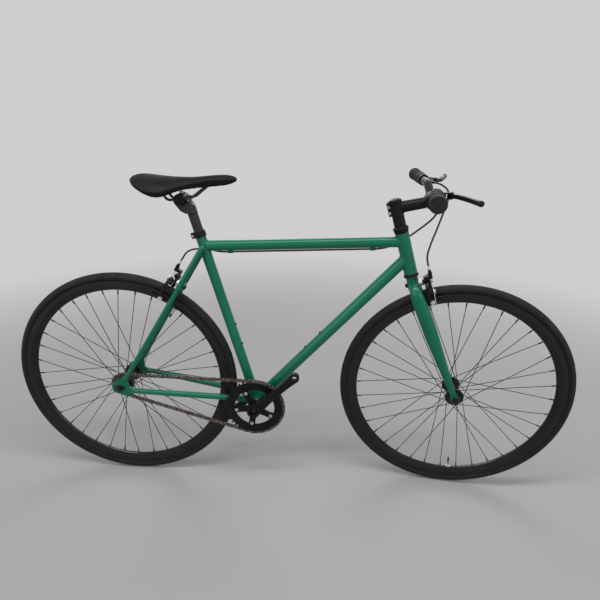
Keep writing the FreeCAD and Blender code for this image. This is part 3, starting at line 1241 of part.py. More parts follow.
# Handlebar: a riser bar with a thicker middle, bent at two places on each side
bar_end_up = bar_up + BAR_RISE + BAR_END_RISE
bar_end = (STEM_REACH + BAR_SHOULDER_AHEAD - BAR_END_BACK, BAR_HALF_WIDTH, bar_end_up)
bar_shoulder = (STEM_REACH + BAR_SHOULDER_AHEAD, BAR_SHOULDER_Y, bar_up + BAR_RISE)
bar_knee = (STEM_REACH, BAR_KNEE_Y, bar_up)
bar_points = [steer(a, -y, u) for a, y, u in (bar_end, bar_shoulder, bar_knee)]
bar_points += [steer(*point) for point in (bar_knee, bar_shoulder, bar_end)]
bar_centre = steer(STEM_REACH, 0, bar_up)
bulge_end = BAR_BULGE + BAR_BULGE_TAPER
bulge = turned([(0, -bulge_end), (BAR_R, -bulge_end), (BAR_CLAMP_R, -BAR_BULGE), (BAR_CLAMP_R, BAR_BULGE),
                (BAR_R, bulge_end), (0, bulge_end)], bar_centre, ACROSS)
bar_path = bent_path(bar_points, [BAR_BEND_R] * 4)
parts["handlebar"] = pipe(bar_path, BAR_R).fuse(bulge).cut(pipe(bar_path, BAR_R - BAR_WALL))

# Grips: rubber sleeves with a flanged, closed outer end
bar_way = (steer(*bar_end) - steer(*bar_shoulder)).normalize()
grip_foot = steer(*bar_end) - bar_way * GRIP_LENGTH
grip_tip = GRIP_LENGTH + GRIP_END
flange_at = GRIP_LENGTH - GRIP_FLANGE
grip = turned([(BAR_R, 0), (GRIP_R - GRIP_ROUND, 0), (GRIP_R, GRIP_ROUND), (GRIP_R, flange_at),
               (GRIP_FLANGE_R, flange_at + GRIP_ROUND), (GRIP_FLANGE_R, grip_tip - GRIP_ROUND),
               (GRIP_FLANGE_R - GRIP_ROUND * 2, grip_tip), (0, grip_tip), (0, GRIP_LENGTH),
               (BAR_R, GRIP_LENGTH)], grip_foot, bar_way)
parts["grips"] = group([grip, mirrored(grip)])

# Brake levers: a clamp with two cheeks, a pivot pin between them and a dog-leg blade
clamp_share = (LEVER_CLAMP_Y - BAR_SHOULDER_Y) / (BAR_HALF_WIDTH - BAR_SHOULDER_Y)
lever_centre = steer(*bar_shoulder) + (steer(*bar_end) - steer(*bar_shoulder)) * clamp_share
lever_ahead = (V(1, 0, 0) - bar_way * bar_way.x).normalize()
pivot = (LEVER_PIVOT_AHEAD, -LEVER_PIVOT_INBOARD)
cheek_low = LEVER_BLADE / 2 + RUNNING_GAP
cheek_high = cheek_low + LEVER_CHEEK
clamp_r = BAR_R + LEVER_CLAMP_WALL
clamp_half = ACROSS * (LEVER_CLAMP_WIDTH / 2)
web = Part.makeBox(clamp_r + LEVER_CHEEK - BAR_R / 2, LEVER_CLAMP_WIDTH, cheek_high * 2,
                   V(BAR_R / 2, -LEVER_CLAMP_WIDTH / 2, -cheek_high))
cheek_root = (clamp_r, -LEVER_CLAMP_WIDTH / 6)
cheeks = [limb([cheek_root, pivot], [LEVER_BOSS_R, LEVER_BOSS_R], low, high)
          for low, high in ((cheek_low, cheek_high), (-cheek_high, -cheek_low))]
bracket = rod(-clamp_half, clamp_half, clamp_r).multiFuse([web] + cheeks)
bracket = bracket.cut(rod(-clamp_half * 2, clamp_half * 2, BAR_R))
pin_half = LIFT * (cheek_high + RUNNING_GAP)
pin = rod(V(*pivot, 0) - pin_half, V(*pivot, 0) + pin_half, LEVER_PIN_R)
bracket = bracket.cut(pin)
adjuster_in = V(ADJUSTER_AHEAD, -LEVER_CLAMP_WIDTH / 2, 0)
adjuster_out = adjuster_in - ACROSS * ADJUSTER_LENGTH
adjuster = tube(adjuster_in, adjuster_out, ADJUSTER_R, CABLE_ROOM)
LEVER_AHEAD_SHARES = (0, 0.38, 0.7, 1)
LEVER_ALONG_SHARES = (0, 0.2, 0.58, 1)
LEVER_WIDTH_SHARES = (1.4, 1.05, 0.9, 1.1)
blade_points = [(pivot[0] + (LEVER_REACH - pivot[0]) * ahead, pivot[1] + LEVER_SPAN * along)
                for ahead, along in zip(LEVER_AHEAD_SHARES, LEVER_ALONG_SHARES)]
lever = limb(blade_points, [LEVER_WIDTH / 2 * share for share in LEVER_WIDTH_SHARES],
             -LEVER_BLADE / 2, LEVER_BLADE / 2)
lever = lever.fuse(Part.makeSphere(LEVER_TIP_R, V(*blade_points[-1], 0)))
lever = lever.cut(rod(V(*pivot, 0) - pin_half, V(*pivot, 0) + pin_half, LEVER_PIN_R + BEARING_FIT))


def on_bar(shape):
    return placed(shape, lever_centre, lever_ahead, bar_way)


left_fittings = [on_bar(piece) for piece in (bracket, pin, adjuster)]
parts["lever_brackets"] = group(left_fittings + [mirrored(piece) for piece in left_fittings])
parts["lever_left"] = on_bar(lever)
parts["lever_right"] = mirrored(on_bar(lever))

# Brake calipers: both are the same, made with x across the rim, y up and z out from the frame.
# The side arm turns on the bracket's pivot, the centre arm on the mount bolt.
bracket_low = CALIPER_SPACER
bracket_high = bracket_low + CALIPER_BRACKET
side_low = bracket_high + RUNNING_GAP
side_high = side_low + CALIPER_ARM
centre_low = side_high + RUNNING_GAP
centre_high = centre_low + CALIPER_ARM
nut_low = centre_high + RUNNING_GAP
side_pivot = (-CALIPER_PIVOT_ACROSS, CALIPER_PIVOT_RISE)
pad_face = RIM_WIDTH / 2 + PAD_GAP
pad_out = pad_face + PAD_THICKNESS + PAD_HOLDER
boss_z = centre_high - PAD_BOSS_R - RUNNING_GAP
boss_out = pad_out + CALIPER_ARM_WIDTH * CALIPER_TIP_SHARE
pad_bolt_y = -CALIPER_REACH
arm_half = CALIPER_ARM_WIDTH / 2
tip_r = arm_half * CALIPER_TIP_SHARE
bolt_room = CALIPER_BOLT_R + BEARING_FIT


def through(at, radius):
    """A cutter along z for a pivot hole."""
    return Part.makeCylinder(radius, centre_high + OVERRUN, V(at[0], at[1], 0))


def brake_pad(side):
    """Pad boss, rubber pad, its holder and its bolt. Side is -1 on the cable side."""
    boss_in = V(pad_out * side, pad_bolt_y, boss_z)
    boss_end = V(boss_out * side, pad_bolt_y, boss_z)
    boss = rod(*sorted((boss_in, boss_end), key=lambda end: end.x), PAD_BOSS_R)
    bolt = rod(boss_in, boss_end, PAD_BOLT_R)
    head = rod(boss_end, boss_end + V(PAD_BOLT_HEAD * side, 0, 0), PAD_BOLT_HEAD_R)
    middle = boss_z + PAD_FORWARD
    half = PAD_LENGTH / 2
    tall = PAD_HEIGHT / 2
    chamfer = tall / 2
    corners = [V(pad_face * side, pad_bolt_y + y, middle + z) for y, z in (
        (-tall, -half + chamfer), (-tall, half - chamfer), (-tall + chamfer, half), (tall - chamfer, half),
        (tall, half - chamfer), (tall, -half + chamfer), (tall - chamfer, -half), (chamfer - tall, -half))]
    pad = slab(Part.makePolygon(corners + corners[:1]), V(PAD_THICKNESS * side, 0, 0))
    holder_x = min(pad_out * side, (pad_out - PAD_HOLDER) * side)
    holder = Part.makeBox(PAD_HOLDER, PAD_HEIGHT - chamfer, PAD_LENGTH - tall,
                          V(holder_x, pad_bolt_y - tall + chamfer / 2, middle - half + tall / 2))
    return boss, [pad, holder.fuse(bolt).fuse(head)], bolt


def caliper_bracket(back):
    bolt = rod(V(0, 0, -back), V(0, 0, nut_low + CALIPER_NUT), CALIPER_BOLT_R)
    nut = hexagon(V(0, 0, nut_low), LIFT, CALIPER_NUT_R * 2, CALIPER_NUT)
    back_nut = Part.makeCylinder(CALIPER_NUT_R, CALIPER_BACK_NUT, V(0, 0, -back - CALIPER_BACK_NUT))
    plate = limb([(0, 0), side_pivot], [CALIPER_BOSS_R, CALIPER_BOSS_R], bracket_low, bracket_high)
    post = Part.makeCylinder(CALIPER_BOLT_R, centre_low - bracket_low, V(*side_pivot, bracket_low))
    cap = Part.makeCylinder(CALIPER_NUT_R, CALIPER_BRACKET, V(*side_pivot, centre_low))
    return bolt.multiFuse([nut, back_nut, plate, post, cap])


# Bends of both arms, as shares of the half span and of the reach, and of the cable tail's own sizes
SIDE_ARM_SHARES = ((-0.9, -0.1), (-1.0, -0.5))
CENTRE_ARM_SHARES = ((1.0, -0.5), (0.88, -0.06), (0.5, 0.12))
CENTRE_TAIL_SHARES = ((0.5, 0.42), (0.9, 1.0))
BARREL_FLANGE_SHARES = (0.2, 0.45)


def side_arm():
    """The arm with the cable's barrel adjuster and the pad on the cable side."""
    boss, pad, bolt = brake_pad(-1)
    bends = [(CALIPER_HALF_SPAN * across, CALIPER_REACH * rise) for across, rise in SIDE_ARM_SHARES]
    points = [side_pivot] + bends + [(-(pad_out + boss_out) / 2, pad_bolt_y)]
    arm = limb(points, [CALIPER_BOSS_R, arm_half, arm_half, tip_r], side_low, side_high)
    tail_top = CALIPER_TAIL_RISE + arm_half
    tail = limb([side_pivot, (-CALIPER_CABLE_ACROSS, CALIPER_TAIL_RISE)], [CALIPER_BOSS_R, tip_r],
                side_low, side_high)
    stop = Part.makeBox(BARREL_FLANGE_R * 2, CALIPER_ARM, CALIPER_CABLE_OUT + BARREL_R - side_low,
                        V(-CALIPER_CABLE_ACROSS - BARREL_FLANGE_R, tail_top - CALIPER_ARM, side_low))
    cable_low = V(-CALIPER_CABLE_ACROSS, 0, CALIPER_CABLE_OUT)
    cable_bore = rod(cable_low, cable_low + V(0, tail_top + BARREL_LENGTH + OVERRUN, 0), CABLE_ROOM)
    arm = arm.multiFuse([tail, stop, boss]).cut(through(side_pivot, bolt_room)).cut(bolt).cut(cable_bore)
    flange_low, flange_high = (BARREL_LENGTH * share for share in BARREL_FLANGE_SHARES)
    barrel_foot = cable_low + V(0, tail_top, 0)
    barrel = turned([(CABLE_ROOM, 0), (BARREL_R, 0), (BARREL_R, flange_low), (BARREL_FLANGE_R, flange_low),
                     (BARREL_FLANGE_R, flange_high), (BARREL_R, flange_high),
                     (BARREL_TIP_R, BARREL_LENGTH), (CABLE_ROOM, BARREL_LENGTH)], barrel_foot, ACROSS)
    cable = rod(barrel_foot - V(0, CALIPER_ARM, 0), barrel_foot + V(0, BARREL_LENGTH, 0), CABLE_R)
    return [arm, barrel, cable] + pad


def centre_arm():
    """The arm on the mount bolt, with the pinch bolt and the cable that it holds."""
    boss, pad, bolt = brake_pad(1)
    bends = [(CALIPER_HALF_SPAN * across, CALIPER_REACH * rise) for across, rise in CENTRE_ARM_SHARES]
    tail = [(-CALIPER_CABLE_ACROSS * across, -CALIPER_TAIL_DROP * drop)
            for across, drop in CENTRE_TAIL_SHARES]
    points = [((pad_out + boss_out) / 2, pad_bolt_y)] + bends + [(0, 0)] + tail
    radii = [tip_r] + [arm_half] * len(bends) + [CALIPER_BOSS_R] + [arm_half] * len(tail)
    arm = limb(points, radii, centre_low, centre_high)
    arm = arm.fuse(boss).cut(through((0, 0), bolt_room)).cut(bolt)
    pinch_low = centre_high + CABLE_R * 2
    pinch_at = V(-CALIPER_CABLE_ACROSS + PINCH_R, -CALIPER_TAIL_DROP, centre_high)
    pinch = Part.makeCylinder(CALIPER_BOLT_R, CABLE_R * 2, pinch_at)
    washer_foot = V(pinch_at.x, pinch_at.y, pinch_low)
    pinch = pinch.multiFuse([Part.makeCylinder(PINCH_R + CABLE_R * 2, CABLE_R * 2, washer_foot),
                             hexagon(washer_foot, LIFT, PINCH_R * 2, PINCH_R)])
    cable_x = -CALIPER_CABLE_ACROSS
    cable_z = CALIPER_CABLE_OUT
    cable_top = V(cable_x, CALIPER_TAIL_RISE + arm_half - CALIPER_ARM - CABLE_PLAY, cable_z)
    cable_end = V(cable_x, -CALIPER_TAIL_DROP - CABLE_TAIL, cable_z)
    cable = rod(cable_end, cable_top, CABLE_R)
    cable = cable.fuse(rod(cable_end, cable_end + V(0, CABLE_CAP, 0), CABLE_CAP_R))
    return [arm.removeSplitter(), pinch.cut(cable), cable] + pad


side_pieces = side_arm()
centre_pieces = centre_arm()
CALIPERS = (
    ("front", steer(CROWN_SLEEVE_R, 0, CROWN_UP), ACROSS, steer_up, "right", "left",
     sleeve_rod, CROWN_SLEEVE_R * 2),
    ("rear", bridge + stay_out * BRAKE_BRIDGE_R, ACROSS * -1, stay_up, "left", "right",
     bridge_rod, BRAKE_BRIDGE_R * 2),
)
for end, origin, across, up, cable_side, far_side, carrier, depth in CALIPERS:
    washer = Part.makeCylinder(CALIPER_SPACER_R, CALIPER_SPACER * 2, V(0, 0, -CALIPER_SPACER))
    washer = washer.cut(through((0, 0), CALIPER_BOLT_R)).cut(
        Part.makeCylinder(CALIPER_BOLT_R, CALIPER_SPACER * 2, V(0, 0, -CALIPER_SPACER)))
    washer = placed(washer, origin, across, up).cut(carrier)
    washer = max(washer.Solids, key=lambda solid: solid.Volume)
    fixed = placed(caliper_bracket(depth), origin, across, up)
    parts[end + "_caliper_bracket"] = group([fixed, washer])
    near_pieces = [placed(piece, origin, across, up) for piece in side_pieces]
    parts[end + "_caliper_arm_" + cable_side] = group(near_pieces)
    far_pieces = [placed(piece, origin, across, up) for piece in centre_pieces]
    parts[end + "_caliper_arm_" + far_side] = group(far_pieces)

# Seatpost: a tube that slides in the seat tube, with a laid-back head and a round cradle
post_top = seat_top + seat_up * POST_EXPOSED
post_foot = seat_top - seat_up * POST_INSERTION
tilt_axis = post_top + V(-SADDLE_TILT_BACK, 0, SADDLE_TILT_RISE)
POST_HEAD_SHARES = [("front", 1.0, -0.95), ("front", 0.92, -0.54), ("front", 0.52, -0.08),
                    ("rear", -1.0, -0.08), ("rear", -0.85, -0.31), ("rear", -0.1, -0.8),
                    ("front", 0.3, -1.0)]
head_reach = {"front": POST_HEAD_FRONT, "rear": POST_HEAD_REAR}
head_half = ACROSS * (POST_HEAD_WIDTH / 2)
corners = [tilt_axis + V(head_reach[side] * along, 0, POST_HEAD_DROP * rise) - head_half
           for side, along, rise in POST_HEAD_SHARES]
post_head = slab(Part.makePolygon(corners + corners[:1]), head_half * 2)
post = rod(post_foot, post_top, POST_R).multiFuse([Part.makeSphere(POST_R, post_top), post_head])
post = post.cut(rod(post_foot - seat_up * OVERRUN, post_top - seat_up * POST_R, POST_R - POST_WALL))
cradle_half = ACROSS * (CLAMP_WIDTH / 2)
post = post.cut(rod(tilt_axis - cradle_half, tilt_axis + cradle_half, CRADLE_R))
slot_y = CLAMP_BOLT_R + RUNNING_GAP
post = post.cut(Part.makeBox(CLAMP_SLOT_LENGTH, slot_y * 2, POST_HEAD_DROP + OVERRUN,
                             tilt_axis - V(CLAMP_SLOT_LENGTH / 2, slot_y, POST_HEAD_DROP + OVERRUN)))
pocket_half = CLAMP_SLOT_LENGTH / 2 + CLAMP_BOLT_R
pocket_y = CLAMP_BOLT_HEAD_R + RUNNING_GAP
pocket = Part.makeBox(pocket_half * 2, pocket_y * 2, POST_HEAD_DROP + OVERRUN,
                      tilt_axis - V(pocket_half, pocket_y, POST_HEAD_DROP + OVERRUN))
clamp_seat = rod(tilt_axis - cradle_half, tilt_axis + cradle_half, CLAMP_SEAT_R)
parts["seatpost"] = post.cut(pocket.cut(clamp_seat))

# Saddle cover: a padded shell through arched sections, from the raised tail over a dip to the nose.
# Each row holds the place along it, its half width, and the heights of its crown, shoulder, hem and arch.
SADDLE_SECTION_SHARES = [
    (0.0, 0.3, 0.77, 0.71, 0.63, 0.615), (0.05, 0.68, 0.895, 0.655, 0.5, 0.615),
    (0.14, 0.945, 0.97, 0.48, 0.29, 0.6), (0.245, 1.0, 0.942, 0.27, 0.08, 0.56),
    (0.35, 0.92, 0.89, 0.23, 0.0, 0.54), (0.474, 0.63, 0.862, 0.4, 0.19, 0.52),
    (0.6, 0.4, 0.87, 0.577, 0.33, 0.5), (0.737, 0.29, 0.942, 0.71, 0.42, 0.5),
    (0.87, 0.26, 1.0, 0.75, 0.5, 0.53), (0.958, 0.2, 0.942, 0.77, 0.577, 0.6),
    (1.0, 0.096, 0.827, 0.76, 0.67, 0.69),
]
saddle_tail = tilt_axis + V(-SADDLE_TAIL_BACK, 0, SADDLE_BASE_RISE)


def saddle_section(along, width, crown, shoulder, hem, arch):
    def at(y, height):
        return saddle_tail + V(SADDLE_LENGTH * along, y, SADDLE_DEPTH * height)
    half = SADDLE_HALF_WIDTH * width
    tuck = half - SADDLE_EDGE * width
    return outline(at(-half, shoulder), (at(0, crown), at(half, shoulder)), at(tuck, hem),
                   (at(0, arch), at(-tuck, hem)), at(-half, shoulder))


saddle_shell = Part.makeLoft([saddle_section(*row) for row in SADDLE_SECTION_SHARES], True, False)
parts["saddle_cover"] = saddle_shell

# Saddle rails: two bent wires that run up into the cover at both ends
rail_path = bent_path([
    tilt_axis + V(RAIL_NOSE_AHEAD, RAIL_NOSE_Y, RAIL_END_RISE),
    tilt_axis + V(RAIL_FRONT_AHEAD, RAIL_HALF_SPACING, RAIL_R),
    tilt_axis + V(-RAIL_REAR_BACK, RAIL_HALF_SPACING, -RAIL_R),
    tilt_axis + V(-RAIL_TAIL_BACK, RAIL_HALF_SPACING, RAIL_END_RISE)], [RAIL_BEND_R] * 2)
rail = pipe(rail_path, RAIL_R)
rail = max(rail.cut(saddle_shell).Solids, key=lambda solid: solid.Volume)
rails = [rail, mirrored(rail)]
parts["saddle_rails"] = group(rails)

# Rail clamp: two jaws round the rails, the lower one seated in the cradle, and their bolt
jaw_box = V(CRADLE_R * 2, CLAMP_WIDTH, CRADLE_R)
jaw_corner = tilt_axis - V(CRADLE_R, CLAMP_WIDTH / 2, 0)
lower_jaw = rod(tilt_axis - cradle_half, tilt_axis + cradle_half, CRADLE_R - RUNNING_GAP)
lower_corner = jaw_corner - V(0, 0, CRADLE_R + JAW_GAP / 2)
lower_jaw = lower_jaw.common(Part.makeBox(jaw_box.x, jaw_box.y, jaw_box.z, lower_corner))
upper_jaw = rod(tilt_axis - cradle_half, tilt_axis + cradle_half, CLAMP_TOP)
upper_corner = jaw_corner + V(0, 0, JAW_GAP / 2)
upper_jaw = upper_jaw.common(Part.makeBox(jaw_box.x, jaw_box.y, jaw_box.z, upper_corner))
bolt_head_top = tilt_axis - V(0, 0, CLAMP_SEAT_R + RUNNING_GAP)
nut_foot = tilt_axis + V(0, 0, CLAMP_TOP - RUNNING_GAP)
clamp_bolt = rod(bolt_head_top, nut_foot + V(0, 0, CLAMP_BOLT_HEAD), CLAMP_BOLT_R)
jaws = [jaw.cut(rails[0]).cut(rails[1]).cut(clamp_bolt) for jaw in (lower_jaw, upper_jaw)]
clamp_bolt = clamp_bolt.multiFuse([
    rod(bolt_head_top - V(0, 0, CLAMP_BOLT_HEAD), bolt_head_top, CLAMP_BOLT_HEAD_R),
    hexagon(nut_foot, LIFT, CLAMP_BOLT_HEAD_R * 2, CLAMP_BOLT_HEAD)])
jaws[1] = jaws[1].cut(clamp_bolt)
parts["rail_clamp"] = group(jaws + [clamp_bolt])


# Steered pieces are made straight and turned together to the angle at which the bicycle stands
def at_rest(vector, base):
    return base + FreeCAD.Rotation(steer_up, STEER_REST_ANGLE).multVec(vector - base)


STEERED = ("fork_", "headset_spacer", "top_cap", "stem", "handlebar", "grips", "lever_", "front_")
for name, shape in parts.items():
    if name.startswith(STEERED):
        shape.rotate(steer_base, steer_up, STEER_REST_ANGLE)


ARC_SHARE = 0.45


# Brake cable housings: straight runs and tangent arcs, each arc as large as its two runs allow
def housing(name, points):
    radii = []
    for before, corner, after in zip(points, points[1:], points[2:]):
        turn = (corner - before).getAngle(after - corner)
        shorter = min((corner - before).Length, (after - corner).Length)
        radii.append(ARC_SHARE * shorter / math.tan(turn / 2))
    path = bent_path(points, radii)
    shape = pipe(path, HOUSING_R)
    print(name, "least radius", round(min(radii), 1), "length", round(path.Length, 1),
          "volume share", round(shape.Volume / (math.pi * HOUSING_R**2 * path.Length), 4))
    return shape


def ferrule(end, way):
    """A metal sleeve over the end of a housing."""
    return tube(end, end + way * FERRULE_LENGTH, FERRULE_R, HOUSING_R)


tail_top = CALIPER_TAIL_RISE + arm_half + BARREL_LENGTH
barrel_tops = {}
for end, origin, across, up, *_ in CALIPERS:
    top = origin - across * CALIPER_CABLE_ACROSS + up * tail_top + across.cross(up) * CALIPER_CABLE_OUT
    barrel_tops[end] = top + up * HOUSING_END_GAP
left_exit = lever_centre + lever_ahead * adjuster_out.x + bar_way * (adjuster_out.y - HOUSING_END_GAP)
right_exit = at_rest(V(left_exit.x, -left_exit.y, left_exit.z), steer_base)
left_exit = at_rest(left_exit, steer_base)
front_end = at_rest(barrel_tops["front"], steer_base)
front_end_up = at_rest(steer_base + steer_up, steer_base) - steer_base
guide_front = guide_places[1] + top_tube_way * GUIDE_LENGTH

# Each route is a list of points measured from the fixed end that it leaves or reaches
FRONT_FROM_LEVER = [V(2, -24.8, -1.5), V(16, -44.8, -3.5), V(30, -66.8, -13.5), V(32, -88.8, -28.5)]
FRONT_FROM_BRAKE = [V(36.3, 42.3, 166.9), V(24.3, 23.3, 143.9), V(10.8, 11.3, 106.9), V(-0.7, 4.3, 75.9),
                    V(-10.7, 1, 34.9)]
LOOP_FROM_LEVER = [V(5.6, 25.7, 0.4), V(14.1, 49.7, -6.6), V(20.1, 71.7, -23.6), V(16.1, 89.7, -48.6),
                   V(8.1, 108.7, -73.1)]
LOOP_FROM_GUIDE = [V(123.8, -8, 69.1), V(105.8, 12, 46.6), V(91.8, 26, 30.6), V(68.8, 31, 14.6),
                   V(45.8, 20, 5.6), V(22.8, 4, 1.2)]
REAR_FROM_BRAKE = [V(118.9, -23, 44.9), V(102.9, -10, 44.4), V(85.9, 0.5, 44.2), V(64.9, 4.5, 44.5),
                   V(42.9, 4.5, 42.2), V(23.9, 2, 35.2), V(10.9, 0.3, 16.7)]


def route(end, offsets):
    return [end + offset for offset in offsets]


rear_end = barrel_tops["rear"]
loop_end = guide_front + top_tube_way * (HOUSING_END_GAP + RUNNING_GAP)
guide_rear = guide_places[0] - top_tube_way * GUIDE_LENGTH
front_route = route(left_exit, FRONT_FROM_LEVER) + route(front_end, FRONT_FROM_BRAKE)
loop_route = route(right_exit, LOOP_FROM_LEVER) + route(guide_front, LOOP_FROM_GUIDE)
rear_route = [guide_rear] + route(rear_end, REAR_FROM_BRAKE)
parts["front_brake_housing"] = group([
    housing("front housing", [left_exit] + front_route + [front_end]), ferrule(front_end, front_end_up)])
parts["rear_brake_loop"] = housing("rear loop", [right_exit] + loop_route + [loop_end])
parts["rear_brake_housing"] = group([
    housing("rear housing", [guide_front] + rear_route + [rear_end]), ferrule(rear_end, stay_up)])

for name, shape in parts.items():
    shape.exportStep("parts/" + name + ".step")
    print(name, len(shape.Solids), round(shape.Volume), shape.isValid())
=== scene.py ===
import json
import math

import bpy
from mathutils import Matrix, Vector


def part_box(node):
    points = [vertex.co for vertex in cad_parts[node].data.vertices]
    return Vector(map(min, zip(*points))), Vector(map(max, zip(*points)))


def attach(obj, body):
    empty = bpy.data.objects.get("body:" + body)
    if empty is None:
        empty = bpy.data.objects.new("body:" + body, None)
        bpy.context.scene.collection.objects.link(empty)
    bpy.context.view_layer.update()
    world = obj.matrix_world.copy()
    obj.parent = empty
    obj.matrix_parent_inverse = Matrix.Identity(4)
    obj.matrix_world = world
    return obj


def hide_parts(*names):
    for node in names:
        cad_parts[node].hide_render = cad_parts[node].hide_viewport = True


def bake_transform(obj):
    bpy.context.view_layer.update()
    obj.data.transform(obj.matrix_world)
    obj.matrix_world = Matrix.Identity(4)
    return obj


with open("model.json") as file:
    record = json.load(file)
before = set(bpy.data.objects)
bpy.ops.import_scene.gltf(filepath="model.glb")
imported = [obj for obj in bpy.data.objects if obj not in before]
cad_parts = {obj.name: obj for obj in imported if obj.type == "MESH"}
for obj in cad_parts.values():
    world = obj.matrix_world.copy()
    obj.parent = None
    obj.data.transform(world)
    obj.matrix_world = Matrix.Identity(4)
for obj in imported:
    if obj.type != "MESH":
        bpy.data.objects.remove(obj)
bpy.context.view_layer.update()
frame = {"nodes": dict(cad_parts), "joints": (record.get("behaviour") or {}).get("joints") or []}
bpy.ops.object.select_all(action="DESELECT")

# Camera: stands at the bicycle's right side, a little above the saddle, and looks down at it.
# Its place, turn and lens come from the two wheels' ellipses in the 600 x 600 picture.
eye = (0.084, -1.181, 1.042)
yaw, pitch, roll = math.radians(-2.54), math.radians(20.05), math.radians(-0.98)
film_width, picture_px, focal_px = 36, 600, 440.5
ahead = Vector((math.sin(yaw) * math.cos(pitch), math.cos(yaw) * math.cos(pitch), -math.sin(pitch)))
level = Vector((math.cos(yaw), -math.sin(yaw), 0))
under = ahead.cross(level)
right = level * math.cos(roll) + under * math.sin(roll)
down = under * math.cos(roll) - level * math.sin(roll)
bpy.ops.object.camera_add()
camera = bpy.context.object
camera.name = "camera"
camera.data.sensor_width = film_width
camera.data.lens = film_width * focal_px / picture_px
camera_turn = Matrix((right, -down, -ahead)).transposed().to_4x4()
camera.matrix_world = Matrix.Translation(eye) @ camera_turn
bpy.context.scene.camera = camera
bpy.context.scene.view_settings.view_transform = "Standard"

# Studio: a matt pale floor that fades into a plain pale wall, so that no edge shows from any side.
# One long soft lamp hangs above the bicycle, with wide weaker ones to the left, right and back.
wall_colour = (0.63, 0.615, 0.625, 1)
floor_size, fade_start, fade_end = 60, 0.9, 3.2


def step(made, operation, *values):
    """One sum in a pattern of shader nodes."""
    node = made.node_tree.nodes.new("ShaderNodeMath")
    node.operation = operation
    for socket, value in zip(node.inputs, values):
        if isinstance(value, (int, float)):
            socket.default_value = value
        else:
            made.node_tree.links.new(value, socket)
    return node.outputs[0]


def rise(made, value, low, high, start=0.0, end=1.0, course="SMOOTHSTEP"):
    """Goes from start to end as the value goes from low to high."""
    node = made.node_tree.nodes.new("ShaderNodeMapRange")
    node.interpolation_type = course
    limits = {"From Min": low, "From Max": high, "To Min": start, "To Max": end}
    for name, limit in limits.items():
        node.inputs[name].default_value = limit
    made.node_tree.links.new(value, node.inputs["Value"])
    return node.outputs[0]


def seen_rays(made):
    """One for the rays that show the room: straight to the camera, or off metal and through glass."""
    rays = made.node_tree.nodes.new("ShaderNodeLightPath")
    bent = step(made, "MAXIMUM", rays.outputs["Is Glossy Ray"], rays.outputs["Is Transmission Ray"])
    return step(made, "MAXIMUM", rays.outputs["Is Camera Ray"], bent)


def either(made, share, first, second):
    """Mixes two shaders: the first alone at a share of 0, the second alone at 1."""
    mix = made.node_tree.nodes.new("ShaderNodeMixShader")
    for socket, value in zip(mix.inputs, (share, first, second)):
        made.node_tree.links.new(value, socket)
    return mix.outputs[0]


bpy.ops.mesh.primitive_plane_add(size=floor_size)
floor = bpy.context.object
floor.name = "floor"
floor_paint = bpy.data.materials.new("pale_floor")
floor_paint.use_nodes = True
nodes, links = floor_paint.node_tree.nodes, floor_paint.node_tree.links
matt = nodes["Principled BSDF"]
matt.inputs["Base Color"].default_value = (0.41, 0.4, 0.395, 1)
matt.inputs["Roughness"].default_value = 0.85
matt.inputs["Specular IOR Level"].default_value = 0.2
far_wall = nodes.new("ShaderNodeEmission")
far_wall.inputs["Color"].default_value = wall_colour
floor_place = nodes.new("ShaderNodeTexCoord")
far_out = nodes.new("ShaderNodeVectorMath")
far_out.operation = "LENGTH"
links.new(floor_place.outputs["Object"], far_out.inputs[0])
fade = rise(floor_paint, far_out.outputs["Value"], fade_start, fade_end)
faded = step(floor_paint, "MULTIPLY", fade, seen_rays(floor_paint))
floor_look = either(floor_paint, faded, matt.outputs[0], far_wall.outputs[0])
links.new(floor_look, nodes["Material Output"].inputs["Surface"])
floor.data.materials.append(floor_paint)
world = bpy.data.worlds.new("pale_room")
world.use_nodes = True
bpy.context.scene.world = world
nodes, links = world.node_tree.nodes, world.node_tree.links
nodes.clear()
wall = nodes.new("ShaderNodeBackground")
wall.inputs["Color"].default_value = wall_colour
glow = nodes.new("ShaderNodeBackground")
glow.inputs["Color"].default_value = (0.95, 0.97, 1, 1)
glow.inputs["Strength"].default_value = 0.4
room = either(world, seen_rays(world), glow.outputs[0], wall.outputs[0])
links.new(room, nodes.new("ShaderNodeOutputWorld").inputs["Surface"])
for name, place, aim, size, power in (
        ("ceiling_lamp", (0.1, -0.6, 2.5), (0, 0, 0.5), (3.0, 0.35), 34),
        ("left_fill", (-2.3, -1.8, 1.9), (0, 0, 0.5), (1.6, 1.6), 18),
        ("right_fill", (2.5, -1.6, 1.7), (0.2, 0, 0.5), (1.4, 1.4), 16),
        ("back_fill", (0.3, 2.5, 2.2), (0, 0, 0.5), (2.4, 1.0), 24)):
    bpy.ops.object.light_add(type="AREA", location=place)
    lamp = bpy.context.object
    lamp.name = name
    lamp.data.shape = "RECTANGLE"
    lamp.data.size, lamp.data.size_y = size
    lamp.data.energy = power
    lamp.rotation_euler = (Vector(aim) - Vector(place)).to_track_quat("-Z", "Y").to_euler()

# Frame and fork: round steel tubes, mitred, welded at each joint and sprayed with green enamel.
# The enamel is glossy, with a faint orange peel and a slow change of tone along each tube.
tone_low, tone_high = 0.32, 0.68
wear_low, wear_high, wear_detail = 0.35, 0.65, 6


def skin(made):
    """The shader that carries a finish."""
    return made.node_tree.nodes["Principled BSDF"]


def finish(name, roughness, metallic=0.0, shine=0.5):
    """A new finish, plain so far."""
    made = bpy.data.materials.new(name)
    made.use_nodes = True
    skin(made).inputs["Roughness"].default_value = roughness
    skin(made).inputs["Metallic"].default_value = metallic
    skin(made).inputs["Specular IOR Level"].default_value = shine
    return made


